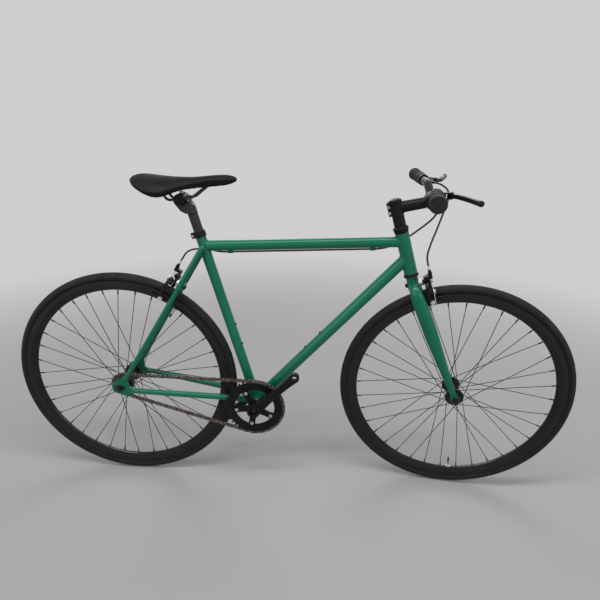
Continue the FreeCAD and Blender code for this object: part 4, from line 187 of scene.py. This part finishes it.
def cloud(made, scale, detail):
    """A soft noise that keeps its place on the piece."""
    place = made.node_tree.nodes.new("ShaderNodeTexCoord")
    noise = made.node_tree.nodes.new("ShaderNodeTexNoise")
    noise.inputs["Scale"].default_value = scale
    noise.inputs["Detail"].default_value = detail
    made.node_tree.links.new(place.outputs["Object"], noise.inputs["Vector"])
    return noise.outputs[0]


def toned(made, value, dark, light):
    """Colours a finish from dark to light as the value goes up."""
    ramp = made.node_tree.nodes.new("ShaderNodeValToRGB")
    first, last = ramp.color_ramp.elements
    first.position, last.position = tone_low, tone_high
    first.color, last.color = (*dark, 1), (*light, 1)
    made.node_tree.links.new(value, ramp.inputs[0])
    made.node_tree.links.new(ramp.outputs[0], skin(made).inputs["Base Color"])


def patches(made, dark, light, scale, detail=3.0):
    """Lets a finish drift between two close colours."""
    toned(made, cloud(made, scale, detail), dark, light)


def rubbed(made, give, scale):
    """Lets the gloss of a finish come and go by that much, as handling does."""
    socket = skin(made).inputs["Roughness"]
    smooth, rough = socket.default_value - give, socket.default_value + give
    worn = rise(made, cloud(made, scale, wear_detail), wear_low, wear_high, smooth, rough, "LINEAR")
    made.node_tree.links.new(worn, socket)


def raise_by(made, height, strength, depth):
    """Turns a height into relief."""
    bump = made.node_tree.nodes.new("ShaderNodeBump")
    bump.inputs["Strength"].default_value = strength
    bump.inputs["Distance"].default_value = depth
    made.node_tree.links.new(height, bump.inputs["Height"])
    made.node_tree.links.new(bump.outputs[0], skin(made).inputs["Normal"])


def grain(made, scale, strength, depth, detail=2.0):
    """Gives a finish a fine even relief."""
    raise_by(made, cloud(made, scale, detail), strength, depth)


def dress(made, *names):
    """Gives whole pieces a finish."""
    for name in names:
        mesh = frame["nodes"][name].data
        mesh.materials.clear()
        mesh.materials.append(made)


enamel = finish("green_enamel", roughness=0.3, shine=0.2)
skin(enamel).inputs["Coat Weight"].default_value = 0.25
skin(enamel).inputs["Coat Roughness"].default_value = 0.06
patches(enamel, dark=(0.0014, 0.132, 0.066), light=(0.0028, 0.16, 0.081), scale=4)
rubbed(enamel, give=0.06, scale=12)
grain(enamel, scale=240, strength=0.04, depth=0.0004)
dress(enamel, "head_tube", "seat_tube", "bottom_bracket_shell", "down_tube", "top_tube", "rear_dropouts",
      "chainstays", "seatstays", "fork_steerer", "fork_dropouts", "fork_blades")

# Weld beads: each is a run of small overlapping pools round the foot of a tube, under the enamel.
# One circle is laid on the line where the two tubes meet, thickened to a bead and made a mesh.
bead_r, pool_cuts, pool_waist_share, bead_rounding = 0.0021, 8, 0.8, 3


def weld_bead(name, foot, way, tube_r, host):
    """A bead round a tube that starts at foot, where it meets its host's surface."""
    host_foot, host_way, host_r = host
    side = way.cross(host_way).normalized()
    over = side.cross(way)
    lean = way - host_way * way.dot(host_way)
    bpy.ops.curve.primitive_nurbs_circle_add()
    bead = bpy.context.object
    bead.name = name
    bpy.ops.object.mode_set(mode="EDIT")
    bpy.ops.curve.select_all(action="SELECT")
    bpy.ops.curve.subdivide(number_cuts=pool_cuts)
    bpy.ops.object.mode_set(mode="OBJECT")
    points = bead.data.splines[0].points
    for index, point in enumerate(points):
        turn = math.tau * index / len(points)
        start = foot + (side * math.cos(turn) + over * math.sin(turn)) * tube_r
        gap = start - host_foot
        gap = gap - host_way * gap.dot(host_way)
        half = gap.dot(lean) / lean.length_squared
        reach = half * half - (gap.length_squared - host_r * host_r) / lean.length_squared
        spot = start + way * (math.sqrt(max(reach, 0)) - half)
        point.co = (*spot, 1)
        point.radius = 1 if index % 2 else pool_waist_share
    bead.data.bevel_depth = bead_r
    bead.data.bevel_resolution = bead_rounding
    bead.data.resolution_u = bead_rounding
    bpy.ops.object.convert(target="MESH")
    bpy.ops.object.shade_smooth()
    bead = bpy.context.object
    bead.data.materials.clear()
    bead.data.materials.append(enamel)
    return bead


joints = {each["name"]: each for each in frame["joints"]}
across = Vector((0, 1, 0))
bracket = Vector(joints["crank_spin"]["pos_m"])
seat_way = Vector(joints["seatpost_slide"]["axis"])
head_foot, head_way = Vector(joints["steering"]["pos_m"]), Vector(joints["steering"]["axis"])
steered_across = Vector(joints["front_wheel_spin"]["axis"])
top_tube_r, seat_tube_r, down_tube_r, head_tube_r = 0.0143, 0.0143, 0.0159, 0.01825
shell_r, crown_r, blade_root_r, chainstay_r = 0.02, 0.016, 0.0128, 0.0092
top_up_seat, top_up_head, down_up_head, crown_up = 0.505, 0.4846, 0.4396, 0.36
stay_half, stay_up, stay_back, stay_spread, stay_climb = 0.02, 0.012, 0.105, 0.01, 0.0118
top_rear = bracket + seat_way * top_up_seat
top_front = head_foot + head_way * top_up_head
down_front = head_foot + head_way * down_up_head
crown_place = head_foot + head_way * crown_up
top_way, down_way = (top_front - top_rear).normalized(), (down_front - bracket).normalized()
head = (head_foot, head_way, head_tube_r)
seat = (bracket, seat_way, seat_tube_r)
shell = (bracket, across, shell_r)
crown = (head_foot, head_way, crown_r)
for name, foot, way, tube_r, host in (
        ("weld_top_tube_front", top_front, -top_way, top_tube_r, head),
        ("weld_top_tube_rear", top_rear, top_way, top_tube_r, seat),
        ("weld_down_tube_front", down_front, -down_way, down_tube_r, head),
        ("weld_down_tube_foot", bracket, down_way, down_tube_r, shell),
        ("weld_seat_tube_foot", bracket, seat_way, seat_tube_r, shell)):
    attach(weld_bead(name, foot, way, tube_r, host), "frame")
for name, side in (("weld_chainstay_left", 1), ("weld_chainstay_right", -1)):
    stay_foot = bracket + Vector((0, stay_half * side, stay_up))
    stay_way = Vector((-stay_back, stay_spread * side, stay_climb)).normalized()
    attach(weld_bead(name, stay_foot, stay_way, chainstay_r, shell), "frame")
for name, side in (("weld_blade_left", 1), ("weld_blade_right", -1)):
    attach(weld_bead(name, crown_place, steered_across * side, blade_root_r, crown), "steering")

# Headset, spacer, top cap and stem: turned and forged aluminium, anodised a satin black.
# The cups are pressed into the head tube, and the stem is clamped on the steerer above the spacer.
# Faint handling marks keep the black from being even.
anodised = finish("black_anodised", roughness=0.39, metallic=0.1, shine=0.14)
patches(anodised, dark=(0.0075, 0.0075, 0.008), light=(0.0125, 0.0125, 0.0135), scale=30)
rubbed(anodised, give=0.09, scale=40)
grain(anodised, scale=1500, strength=0.1, depth=0.0002)
dress(anodised, "headset_cups", "headset_spacer", "top_cap", "stem", "stem_faceplate")

# Riser bar: one aluminium tube, bent up on both sides and clamped by the stem's faceplate.
# It is the same black in a brighter satin, its colour painted lighter as painted light from the lamp.
bar_black = finish("bar_black", roughness=0.36, metallic=0.2, shine=0.25)
# Painted light: this colour range is the stem's black made lighter, standing in for the lamp light on the
# bar.
patches(bar_black, dark=(0.011, 0.011, 0.0115), light=(0.02, 0.02, 0.021), scale=55)
rubbed(bar_black, give=0.1, scale=70)
dress(bar_black, "handlebar")

# Stem screws: steel, zinc-plated and a little dull, sunk in the clamp and the faceplate.
# They hold the bar in the stem and the stem on the steerer.
zinc = finish("dull_zinc", roughness=0.34, metallic=1.0)
patches(zinc, dark=(0.3, 0.3, 0.29), light=(0.46, 0.46, 0.45), scale=120)
rubbed(zinc, give=0.1, scale=160)
dress(zinc, "stem_bolts")

# Bottle bolts: small domed steel screws with a black oxide skin.
# Two are screwed into the down tube and two into the seat tube.
oxide = finish("black_oxide", roughness=0.42, metallic=0.75)
patches(oxide, dark=(0.018, 0.018, 0.018), light=(0.036, 0.036, 0.037), scale=260)
grain(oxide, scale=2600, strength=0.15, depth=0.0002)
dress(oxide, "bottle_bolts")

# Grips: soft rubber sleeves, closed and flanged at the outer end, with a field of small raised studs.
# Each is a cylinder cut into rings and drawn out to the studs; the two are joined, as one node holds both.
grip_rubber = finish("grip_rubber", roughness=0.68, shine=0.3)
patches(grip_rubber, dark=(0.010, 0.010, 0.0105), light=(0.016, 0.016, 0.0165), scale=60)
rubbed(grip_rubber, give=0.1, scale=90)
grain(grip_rubber, scale=1800, strength=0.3, depth=0.0003)
grip_r, grip_flange_r, grip_length, stud_rise = 0.0163, 0.0182, 0.1238, 0.0014
lip_share, collar_share, flange_share, flange_slope = 0.02, 0.14, 0.9, 5
stud_rows, studs_round, grip_sides, grip_rings = 13, 12, 96, 119
grip_crease = math.radians(50)


def grip(name, foot, way):
    """One sleeve that starts at foot and ends in its flange."""
    bpy.ops.mesh.primitive_cylinder_add(vertices=grip_sides, radius=grip_r, depth=grip_length)
    made = bpy.context.object
    made.name = name
    bpy.ops.object.mode_set(mode="EDIT")
    bpy.ops.mesh.select_mode(type="EDGE")
    bpy.ops.mesh.select_all(action="DESELECT")
    bpy.ops.object.mode_set(mode="OBJECT")
    for edge in made.data.edges:
        low, high = (made.data.vertices[end].co.z for end in edge.vertices)
        edge.select = abs(high - low) > grip_length / 2
    bpy.ops.object.mode_set(mode="EDIT")
    bpy.ops.mesh.subdivide(number_cuts=grip_rings)
    bpy.ops.object.mode_set(mode="OBJECT")
    for vertex in made.data.vertices:
        along = vertex.co.z / grip_length + 0.5
        turn = math.atan2(vertex.co.y, vertex.co.x)
        reach = grip_r
        if along > flange_share:
            inward = min(along - flange_share, 1 - along) / (1 - flange_share)
            reach = grip_r + (grip_flange_r - grip_r) * min(1, inward * flange_slope)
        elif along > collar_share:
            row = (along - collar_share) / (flange_share - collar_share) * stud_rows
            stud = max(0, math.cos(math.tau * row) * math.cos(turn * studs_round))
            reach = grip_r - stud_rise / 2 + stud_rise * math.sqrt(stud)
        elif along < lip_share:
            reach = grip_r - stud_rise
        if math.hypot(vertex.co.x, vertex.co.y) > grip_r / 2:
            vertex.co.xy *= reach / grip_r
    bpy.ops.object.shade_smooth_by_angle(angle=grip_crease)
    turned = Vector((0, 0, 1)).rotation_difference(way).to_matrix().to_4x4()
    made.matrix_world = Matrix.Translation(foot + way * (grip_length / 2)) @ turned
    bpy.ops.object.transform_apply(location=True, rotation=True, scale=True)
    made.data.materials.append(grip_rubber)
    return made


def other_side(way):
    """The same direction, seen on the other side of the steered front end."""
    return way - steered_across * (2 * way.dot(steered_across))


left_foot, left_way = Vector((0.3736, 0.15737, 0.9392)), Vector((0.01, 1, 0.05)).normalized()
right_foot = head_foot + other_side(left_foot - head_foot)
left_grip = grip("grip_left", left_foot, left_way)
right_grip = grip("grip_right", right_foot, other_side(left_way))
bpy.ops.object.select_all(action="DESELECT")
left_grip.select_set(True)
right_grip.select_set(True)
bpy.context.view_layer.objects.active = left_grip
bpy.ops.object.join()
left_grip.name = "rubber_grips"
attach(left_grip, "steering")
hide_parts("grips")

# Brake levers: forged aluminium blades on clamp brackets, both anodised a satin black.
# Each blade turns on a plated steel pin that sits in its bracket.
dress(anodised, "lever_brackets", "lever_left", "lever_right")
lever_pin_reach = 0.0028


def repaint(node, made, chosen):
    """Gives the faces that a test picks a finish of their own."""
    mesh = frame["nodes"][node].data
    if made.name not in mesh.materials:
        mesh.materials.append(made)
    place = mesh.materials.find(made.name)
    for face in mesh.polygons:
        if all(chosen(mesh.vertices[corner].co) for corner in face.vertices):
            face.material_index = place


def near(foot, way, reach):
    """A test for the places that lie close to a line."""
    foot, way = Vector(foot), Vector(way).normalized()
    return lambda spot: (spot - foot).cross(way).length < reach


for side in ("left", "right"):
    lever_pin = joints[side + "_lever_pull"]
    repaint("lever_brackets", zinc, near(lever_pin["pos_m"], lever_pin["axis"], lever_pin_reach))

# Saddle: a foam pad under a black synthetic leather cover, pulled tight over the shell's edge.
# The pad is drawn from the solid's form, evened out and softened, with its tail, nose and wings
# drawn in by moved vertices, and carries a fine leather grain.
leather = finish("saddle_leather", roughness=0.49, shine=0.12)
patches(leather, dark=(0.0048, 0.0048, 0.0052), light=(0.0085, 0.0085, 0.009), scale=22)
rubbed(leather, give=0.09, scale=26)
grain(leather, scale=700, strength=0.35, depth=0.0004, detail=4.0)
tail_run, tail_cut, tail_rise = 0.078, 0.0105, 0.0035
nose_run, nose_rise = 0.05, 0.0025
wing_spread, wing_half, wing_drop = 0.03, 0.05, 0.003
skirt_top, skirt_depth = 0.024, 0.026


def softened(node, name, *steps):
    """A copy of a node's form with its mesh made even and its edges eased."""
    bpy.ops.object.select_all(action="DESELECT")
    made = frame["nodes"][node].copy()
    made.data = made.data.copy()
    made.name = name
    made.parent = None
    for key in list(made.keys()):
        del made[key]
    bpy.context.scene.collection.objects.link(made)
    made.select_set(True)
    bpy.context.view_layer.objects.active = made
    for kind, values in steps:
        modifier = made.modifiers.new(kind.lower(), kind)
        for setting, value in values.items():
            setattr(modifier, setting, value)
        bpy.ops.object.modifier_apply(modifier=modifier.name)
    return made


pad = softened("saddle_cover", "saddle_pad",
               ("REMESH", {"mode": "VOXEL", "voxel_size": 0.002}),
               ("SMOOTH", {"factor": 0.5, "iterations": 5}),
               ("DISPLACE", {"strength": 0.0008, "mid_level": 0}),
               ("SUBSURF", {"levels": 1, "render_levels": 1}))
cover_low, cover_high = (Vector(corner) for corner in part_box("saddle_cover"))
for vertex in pad.data.vertices:
    spot = vertex.co
    tail_share = max(0.0, 1 - (spot.x - cover_low.x) / tail_run) ** 2
    nose_share = max(0.0, 1 - (cover_high.x - spot.x) / nose_run) ** 2
    off_wing = (spot.x - cover_low.x - tail_run) / wing_spread
    wing_share = math.exp(-off_wing ** 2) * min(1.0, abs(spot.y) / wing_half) ** 2
    skirt_share = min(1.0, max(0.0, (cover_high.z - skirt_top - spot.z) / skirt_depth))
    spot.x += tail_cut * tail_share
    spot.z += tail_rise * tail_share + nose_rise * nose_share - wing_drop * wing_share * skirt_share
bpy.ops.object.shade_smooth()
pad.data.materials.clear()
pad.data.materials.append(leather)
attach(pad, "saddle")
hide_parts("saddle_cover")

# Saddle rails and clamp: bent steel rod in black enamel, set into the shell under the pad.
# Two forged jaws hold it on the seatpost's head, drawn together by one plated bolt.
rail_black = finish("rail_black", roughness=0.34, metallic=0.2)
patches(rail_black, dark=(0.011, 0.011, 0.011), light=(0.018, 0.018, 0.019), scale=70)
rubbed(rail_black, give=0.08, scale=60)
dress(rail_black, "saddle_rails")
dress(anodised, "rail_clamp")
tilt_place, clamp_bolt_reach = Vector(joints["saddle_tilt"]["pos_m"]), 0.0062
repaint("rail_clamp", zinc, near(tilt_place, (0, 0, 1), clamp_bolt_reach))

# Seatpost: one forged aluminium piece, shot-blasted and anodised, so its black is greyer and softer.
# It is drawn from the solid's form with its edges eased and the front shoulder of its head rounded.
# The head's cradle and slot are opened a little, so that the clamp stays clear as the saddle tilts.
post_satin = finish("post_satin", roughness=0.42, metallic=0.1, shine=0.28)
patches(post_satin, dark=(0.021, 0.0205, 0.0215), light=(0.033, 0.0322, 0.0335), scale=35)
rubbed(post_satin, give=0.08, scale=50)
grain(post_satin, scale=1400, strength=0.12, depth=0.0002)
post = softened("seatpost", "seatpost_forging",
                ("REMESH", {"mode": "VOXEL", "voxel_size": 0.0011}),
                ("SMOOTH", {"factor": 0.5, "iterations": 8}))
tilt_back, tilt_up = 0.023, 0.026
post_top = tilt_place + Vector((tilt_back, 0, -tilt_up))
post_front = Vector((seat_way.z, 0, -seat_way.x))
shaft_reach, shaft_top, fitted_share = 0.0138, -0.016, 0.985
shoulder_r, shoulder_flat_share, head_reach = 0.0139, 0.8, 0.045
slot_reach, bolt_reach, slot_widening, slot_lengthening = 0.016, 0.010, 0.16, 0.12
cradle_r, cradle_reach, cradle_room = 0.016, 0.003, 0.0004
for vertex in post.data.vertices:
    off_tilt = vertex.co - tilt_place
    from_tilt = math.hypot(off_tilt.x, off_tilt.z)
    if from_tilt < head_reach:
        beside_bolt = max(0.0, 1 - (off_tilt.y / bolt_reach) ** 2)
        slot_share = beside_bolt * max(0.0, 1 - (off_tilt.x / slot_reach) ** 2)
        cradle_share = max(0.0, 1 - ((from_tilt - cradle_r) / cradle_reach) ** 2)
        cleared = cradle_room * cradle_share / max(from_tilt, cradle_reach)
        vertex.co.x += off_tilt.x * (slot_lengthening * slot_share + cleared)
        vertex.co.y += off_tilt.y * slot_widening * slot_share
        vertex.co.z += off_tilt.z * cleared
    gap = vertex.co - post_top
    forward, up = gap.dot(post_front), gap.dot(seat_way)
    reach = math.hypot(forward, gap.y * shoulder_flat_share)
    kept_share = 1.0
    if up < shaft_top and gap.cross(seat_way).length < shaft_reach:
        kept_share = fitted_share
    elif forward > 0 and reach > shoulder_r:
        kept_share = shoulder_r / reach
    vertex.co = post_top + seat_way * up + (post_front * forward + across * gap.y) * kept_share
bpy.ops.object.shade_smooth()
post.data.materials.clear()
post.data.materials.append(post_satin)
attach(post, "post")
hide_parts("seatpost")

# Seat collar: a split aluminium band round the top of the seat tube, anodised a satin black.
# One plated steel screw through its ears draws it tight on the seatpost.
collar_screw, collar_screw_reach = (-0.2645, 0, 0.7886), 0.0045
dress(anodised, "seat_collar")
repaint("seat_collar", zinc, near(collar_screw, across, collar_screw_reach))

# Tyres: moulded black rubber with a fine cross-cut tread and thin rings on the sidewalls.
# Each wheel's pattern is laid out round its own axle, by radius, angle and place across.
wheel_r, tread_half, tread_edge, tread_start, tread_end = 0.338, 0.0085, 0.001, 0.012, 0.010
cuts_round, cut_slant, cut_low, cut_high = 260, 700, 0.3, 0.7
ring_pitch, ring_share = 0.0024, 0.2


def wheel_places(made, end):
    """The places along, across and up from a wheel's axle."""
    spin = joints[end + "_wheel_spin"]
    nodes, links = made.node_tree.nodes, made.node_tree.links
    place = nodes.new("ShaderNodeTexCoord")
    centred = nodes.new("ShaderNodeMapping")
    centred.vector_type = "TEXTURE"
    centred.inputs["Location"].default_value = spin["pos_m"]
    centred.inputs["Rotation"].default_value = across.rotation_difference(Vector(spin["axis"])).to_euler()
    parts = nodes.new("ShaderNodeSeparateXYZ")
    links.new(place.outputs["Object"], centred.inputs["Vector"])
    links.new(centred.outputs[0], parts.inputs[0])
    return parts.outputs


def from_axle(made, places):
    """The distance from a wheel's axle."""
    squares = [step(made, "MULTIPLY", places[part], places[part]) for part in ("X", "Z")]
    return step(made, "SQRT", step(made, "ADD", *squares))


def rings(made, radius, pitch):
    """Even waves outward from the axle."""
    return step(made, "SINE", step(made, "MULTIPLY", radius, math.tau / pitch))


for end in ("front", "rear"):
    tyre_rubber = finish(end + "_tyre_rubber", roughness=0.65, shine=0.25)
    patches(tyre_rubber, dark=(0.0075, 0.0075, 0.008), light=(0.0115, 0.0115, 0.012), scale=30)
    rubbed(tyre_rubber, give=0.09, scale=40)
    places = wheel_places(tyre_rubber, end)
    radius = from_axle(tyre_rubber, places)
    turn = step(tyre_rubber, "ARCTAN2", places["Z"], places["X"])
    from_middle = step(tyre_rubber, "ABSOLUTE", places["Y"])
    in_width = rise(tyre_rubber, from_middle, tread_half, tread_half - tread_edge)
    in_reach = rise(tyre_rubber, radius, wheel_r - tread_start, wheel_r - tread_end)
    on_tread = step(tyre_rubber, "MULTIPLY", in_width, in_reach)
    off_tread = step(tyre_rubber, "SUBTRACT", 1, on_tread)
    round_cuts = step(tyre_rubber, "MULTIPLY", turn, cuts_round)
    slant = step(tyre_rubber, "ADD", round_cuts, step(tyre_rubber, "MULTIPLY", from_middle, cut_slant))
    cut = rise(tyre_rubber, step(tyre_rubber, "SINE", slant), cut_low, cut_high)
    tread = step(tyre_rubber, "MULTIPLY", cut, on_tread)
    low_rings = step(tyre_rubber, "MULTIPLY", rings(tyre_rubber, radius, ring_pitch), ring_share)
    sidewall = step(tyre_rubber, "MULTIPLY", low_rings, off_tread)
    raise_by(tyre_rubber, step(tyre_rubber, "ADD", tread, sidewall), strength=0.6, depth=0.0006)
    dress(tyre_rubber, end + "_tyre")

# Rims: hollow aluminium hoops in gloss black, which the tyres sit in.
# A flat brake track on each side is turned in fine rings and is duller than the rest.
track_r, track_edge, track_pitch, track_roughness = 0.302, 0.0008, 0.0007, 0.36
for end in ("front", "rear"):
    rim_black = finish(end + "_rim_black", roughness=0.2, metallic=0.2, shine=0.35)
    patches(rim_black, dark=(0.0085, 0.0085, 0.009), light=(0.012, 0.012, 0.0125), scale=14)
    radius = from_axle(rim_black, wheel_places(rim_black, end))
    gloss = skin(rim_black).inputs["Roughness"]
    dulled = rise(rim_black, radius, track_r, track_r + track_edge, gloss.default_value, track_roughness)
    rim_black.node_tree.links.new(dulled, gloss)
    on_track = rise(rim_black, radius, track_r, track_r + track_edge)
    turned = step(rim_black, "MULTIPLY", rings(rim_black, radius, track_pitch), on_track)
    raise_by(rim_black, turned, strength=0.25, depth=0.0002)
    dress(rim_black, end + "_rim")

# Valves: a threaded, nickel-plated stem on each inner tube, which stands in through the rim.
# A black screw cap covers its inner end.
cap_top_r, cap_edge, thread_pitch = 0.2655, 0.0004, 0.0008
for end in ("front", "rear"):
    valve_skin = finish(end + "_valve", roughness=0.35)
    radius = from_axle(valve_skin, wheel_places(valve_skin, end))
    bare = rise(valve_skin, radius, cap_top_r, cap_top_r + cap_edge)
    toned(valve_skin, bare, dark=(0.015, 0.015, 0.016), light=(0.5, 0.48, 0.44))
    valve_skin.node_tree.links.new(bare, skin(valve_skin).inputs["Metallic"])
    raise_by(valve_skin, rings(valve_skin, radius, thread_pitch), strength=0.3, depth=0.0002)
    dress(valve_skin, end + "_inner_tube")

# Spokes: drawn steel wire with a black coating, 36 in each wheel, crossed on their way to the rim.
# Each is hooked into the hub's flange and drawn tight by a black nipple in the rim.
wire_black = finish("spoke_black", roughness=0.38, metallic=0.2, shine=0.35)
patches(wire_black, dark=(0.009, 0.009, 0.0095), light=(0.016, 0.016, 0.0165), scale=45)
rubbed(wire_black, give=0.08, scale=80)
dress(wire_black, "front_spokes", "rear_spokes")

# Hubs: aluminium shells in gloss black, turned on a lathe and drilled for the spokes.
# They run on bearings round the axles, and the rear one carries the cog.
hub_black = finish("hub_black", roughness=0.27, metallic=0.35)
patches(hub_black, dark=(0.008, 0.008, 0.0085), light=(0.014, 0.014, 0.0145), scale=50)
rubbed(hub_black, give=0.07, scale=60)
dress(hub_black, "front_hub", "rear_hub")

# Axles, cones and nuts: blackened steel, dull and slightly mottled, clamped in the dropouts.
# The washers under the nuts are wider and zinc-plated.
blackened = finish("blackened_steel", roughness=0.46, metallic=0.8)
patches(blackened, dark=(0.026, 0.026, 0.027), light=(0.055, 0.055, 0.056), scale=150)
rubbed(blackened, give=0.1, scale=200)
dress(blackened, "front_axle", "rear_axle")
nut_reach = 0.0088
for end in ("front", "rear"):
    spin = joints[end + "_wheel_spin"]
    within_nut = near(spin["pos_m"], spin["axis"], nut_reach)
    repaint(end + "_axle", zinc, lambda spot: not within_nut(spot))

# Cranks, chainring and bottom bracket cups: forged and stamped aluminium in satin black.
# The cranks are bolted on the ends of a blackened steel spindle that runs in the cups.
dress(anodised, "crank_right", "crank_left", "chainring", "bottom_bracket_cups")
dress(blackened, "crank_spindle")

# Chainring bolts: plated steel with a hexagon socket in each head.
# Five of them hold the chainring on the arms of the right crank.
bolt_steel = finish("ring_bolt_steel", roughness=0.31, metallic=0.5)
patches(bolt_steel, dark=(0.42, 0.42, 0.41), light=(0.62, 0.62, 0.61), scale=200)
rubbed(bolt_steel, give=0.09, scale=240)
dress(bolt_steel, "chainring_bolts")

# Chain: pressed, oily steel links with a brown oxide skin, mottled strongly pale and dark: the oxide's own
# tone, with painted highlights and painted shade in it.
# They are riveted into one loop that runs round the chainring and the cog.
chain_brown = finish("chain_brown", roughness=0.435, metallic=0.5)
# Painted highlights and painted shade: the wide pale-to-dark range stands in for glints on the links and
# shade between them.
patches(chain_brown, dark=(0.028, 0.022, 0.019), light=(0.19, 0.155, 0.132), scale=120, detail=5.0)
rubbed(chain_brown, give=0.115, scale=180)
dress(chain_brown, "chain")

# Cog and lockring: case-hardened steel, greyer than the chain.
# The cog is screwed on the rear hub, and the lockring holds it there.
cog_steel = finish("cog_steel", roughness=0.4, metallic=0.95)
patches(cog_steel, dark=(0.09, 0.088, 0.085), light=(0.19, 0.185, 0.18), scale=140)
rubbed(cog_steel, give=0.1, scale=160)
dress(cog_steel, "cog", "lockring")

# Brake calipers: dual-pivot arms in forged aluminium, satin black, on a bracket with one bolt.
# The pads are black rubber, and the screws, the nuts, the mount's spacer and the bare wire are bright.
# Each bright or rubber piece lies in a box that is measured across, up and out from the mount.
pad_rubber = finish("brake_pad", roughness=0.75)
patches(pad_rubber, dark=(0.011, 0.011, 0.0115), light=(0.018, 0.018, 0.0185), scale=120)
grain(pad_rubber, scale=1600, strength=0.3, depth=0.0003)
wire_bright = finish("bright_wire", roughness=0.28, metallic=0.3)
patches(wire_bright, dark=(0.72, 0.72, 0.71), light=(0.86, 0.86, 0.85), scale=400)
rubbed(wire_bright, give=0.08, scale=500)
plate_bright = finish("bright_plate", roughness=0.31, metallic=0.6)
patches(plate_bright, dark=(0.55, 0.55, 0.54), light=(0.72, 0.72, 0.71), scale=180)
rubbed(plate_bright, give=0.09, scale=220)
mount_spacer = ((-0.0092, -0.0092, -0.0092), (0.0092, 0.0092, 0.0091))
mount_nut = ((-0.0092, -0.0092, 0.0312), (0.0092, 0.0092, 0.037))
pad_screw = ((0.0342, -0.057, 0.017), (0.04, -0.045, 0.031))
pad_block = ((0.012, -0.0563, 0.004), (0.0207, -0.0457, 0.056))
pinch_bolt = ((-0.033, -0.031, 0.0309), (-0.019, -0.017, 0.038))
pinched_wire = ((-0.0328, -0.095, 0.0306), (-0.0292, 0.017, 0.034))
barrel_wire = ((-0.0319, 0.017, 0.0314), (-0.0301, 0.043, 0.0332))


def within(mount, ways, box):
    """A test for the places inside a box that is measured along three ways from a mount."""
    low, high = box

    def test(spot):
        gap = spot - mount
        return all(least <= gap.dot(way) <= most for way, least, most in zip(ways, low, high))

    return test


ferrules = {}
ferrule_across, ferrule_up, ferrule_out = -0.031, 0.0426, 0.0323
for end, hand, centre_side, outer_side in (("front", 1, "left", "right"), ("rear", -1, "right", "left")):
    mount = Vector(joints[end + "_centre_arm_squeeze"]["pos_m"])
    outward = Vector(joints[end + "_side_arm_squeeze"]["axis"])
    sideways = Vector(joints[end + "_wheel_spin"]["axis"]) * hand
    up = outward.cross(sideways)
    ways, mirrored_ways = (sideways, up, outward), (-sideways, up, outward)
    ferrules[end] = mount + sideways * ferrule_across + up * ferrule_up + outward * ferrule_out
    caliper_bracket = end + "_caliper_bracket"
    centre_arm = end + "_caliper_arm_" + centre_side
    side_arm = end + "_caliper_arm_" + outer_side
    dress(anodised, caliper_bracket, centre_arm, side_arm)
    for node, made, node_ways, box in (
            (caliper_bracket, plate_bright, ways, mount_spacer),
            (caliper_bracket, plate_bright, ways, mount_nut),
            (centre_arm, plate_bright, ways, pinch_bolt),
            (centre_arm, plate_bright, ways, pad_screw),
            (centre_arm, pad_rubber, ways, pad_block),
            (centre_arm, wire_bright, ways, pinched_wire),
            (side_arm, plate_bright, mirrored_ways, pad_screw),
            (side_arm, pad_rubber, mirrored_ways, pad_block),
            (side_arm, wire_bright, ways, barrel_wire)):
        repaint(node, made, within(mount, node_ways, box))

# Brake housings: smooth black vinyl over coiled steel wire, with a plated ferrule at each brake.
# The front one comes from the left lever, and the rear one runs under the top tube.
vinyl = finish("housing_vinyl", roughness=0.43)
patches(vinyl, dark=(0.009, 0.009, 0.0095), light=(0.014, 0.014, 0.0145), scale=40)
rubbed(vinyl, give=0.09, scale=50)
dress(vinyl, "front_brake_housing", "rear_brake_housing")
ferrule_reach = 0.0125
for end, ferrule in ferrules.items():
    repaint(end + "_brake_housing", wire_bright, lambda spot: (spot - ferrule).length < ferrule_reach)

# Rear housing's free loop: from the right lever, past the stem, to the front guide under the top tube.
housing_r, guide_seat = 0.0025, 0.001
lever_exit, guide_front = Vector((0.36198, -0.1416, 0.92832)), Vector((0.23415, 0, 0.76539))
from_lever = (
    (0, 0, 0), (0.0056, 0.0257, 0.0004), (0.0141, 0.0497, -0.0066), (0.0201, 0.0717, -0.0236),
    (0.0161, 0.0897, -0.0486), (0.0081, 0.1087, -0.0731))
from_guide = (
    (0.1238, -0.008, 0.0691), (0.1058, 0.012, 0.0466), (0.0918, 0.026, 0.0306), (0.0688, 0.031, 0.0146),
    (0.0458, 0.02, 0.0056), (0.0228, 0.004, 0.0012), top_way * guide_seat)
route = [lever_exit + Vector(offset) for offset in from_lever]
route += [guide_front + Vector(offset) for offset in from_guide]
loop_line = bpy.data.curves.new("rear_loop", "CURVE")
loop_line.dimensions = "3D"
run = loop_line.splines.new("NURBS")
run.points.add(len(route) - 1)
for point, spot in zip(run.points, route):
    point.co = (*spot, 1)
run.order_u = 3
run.use_endpoint_u = True
run.resolution_u = 12
loop_line.bevel_depth = housing_r
loop_line.bevel_resolution = 6
loop_line.use_fill_caps = True
loop = bpy.data.objects.new("rear_loop", loop_line)
bpy.context.scene.collection.objects.link(loop)
bpy.ops.object.select_all(action="DESELECT")
loop.select_set(True)
bpy.context.view_layer.objects.active = loop
bpy.ops.object.convert(target="MESH")
loop = bpy.context.object
bpy.ops.object.shade_smooth()
loop.data.materials.clear()
loop.data.materials.append(vinyl)
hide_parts("rear_brake_loop")
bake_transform(loop)

bpy.context.view_layer.update()
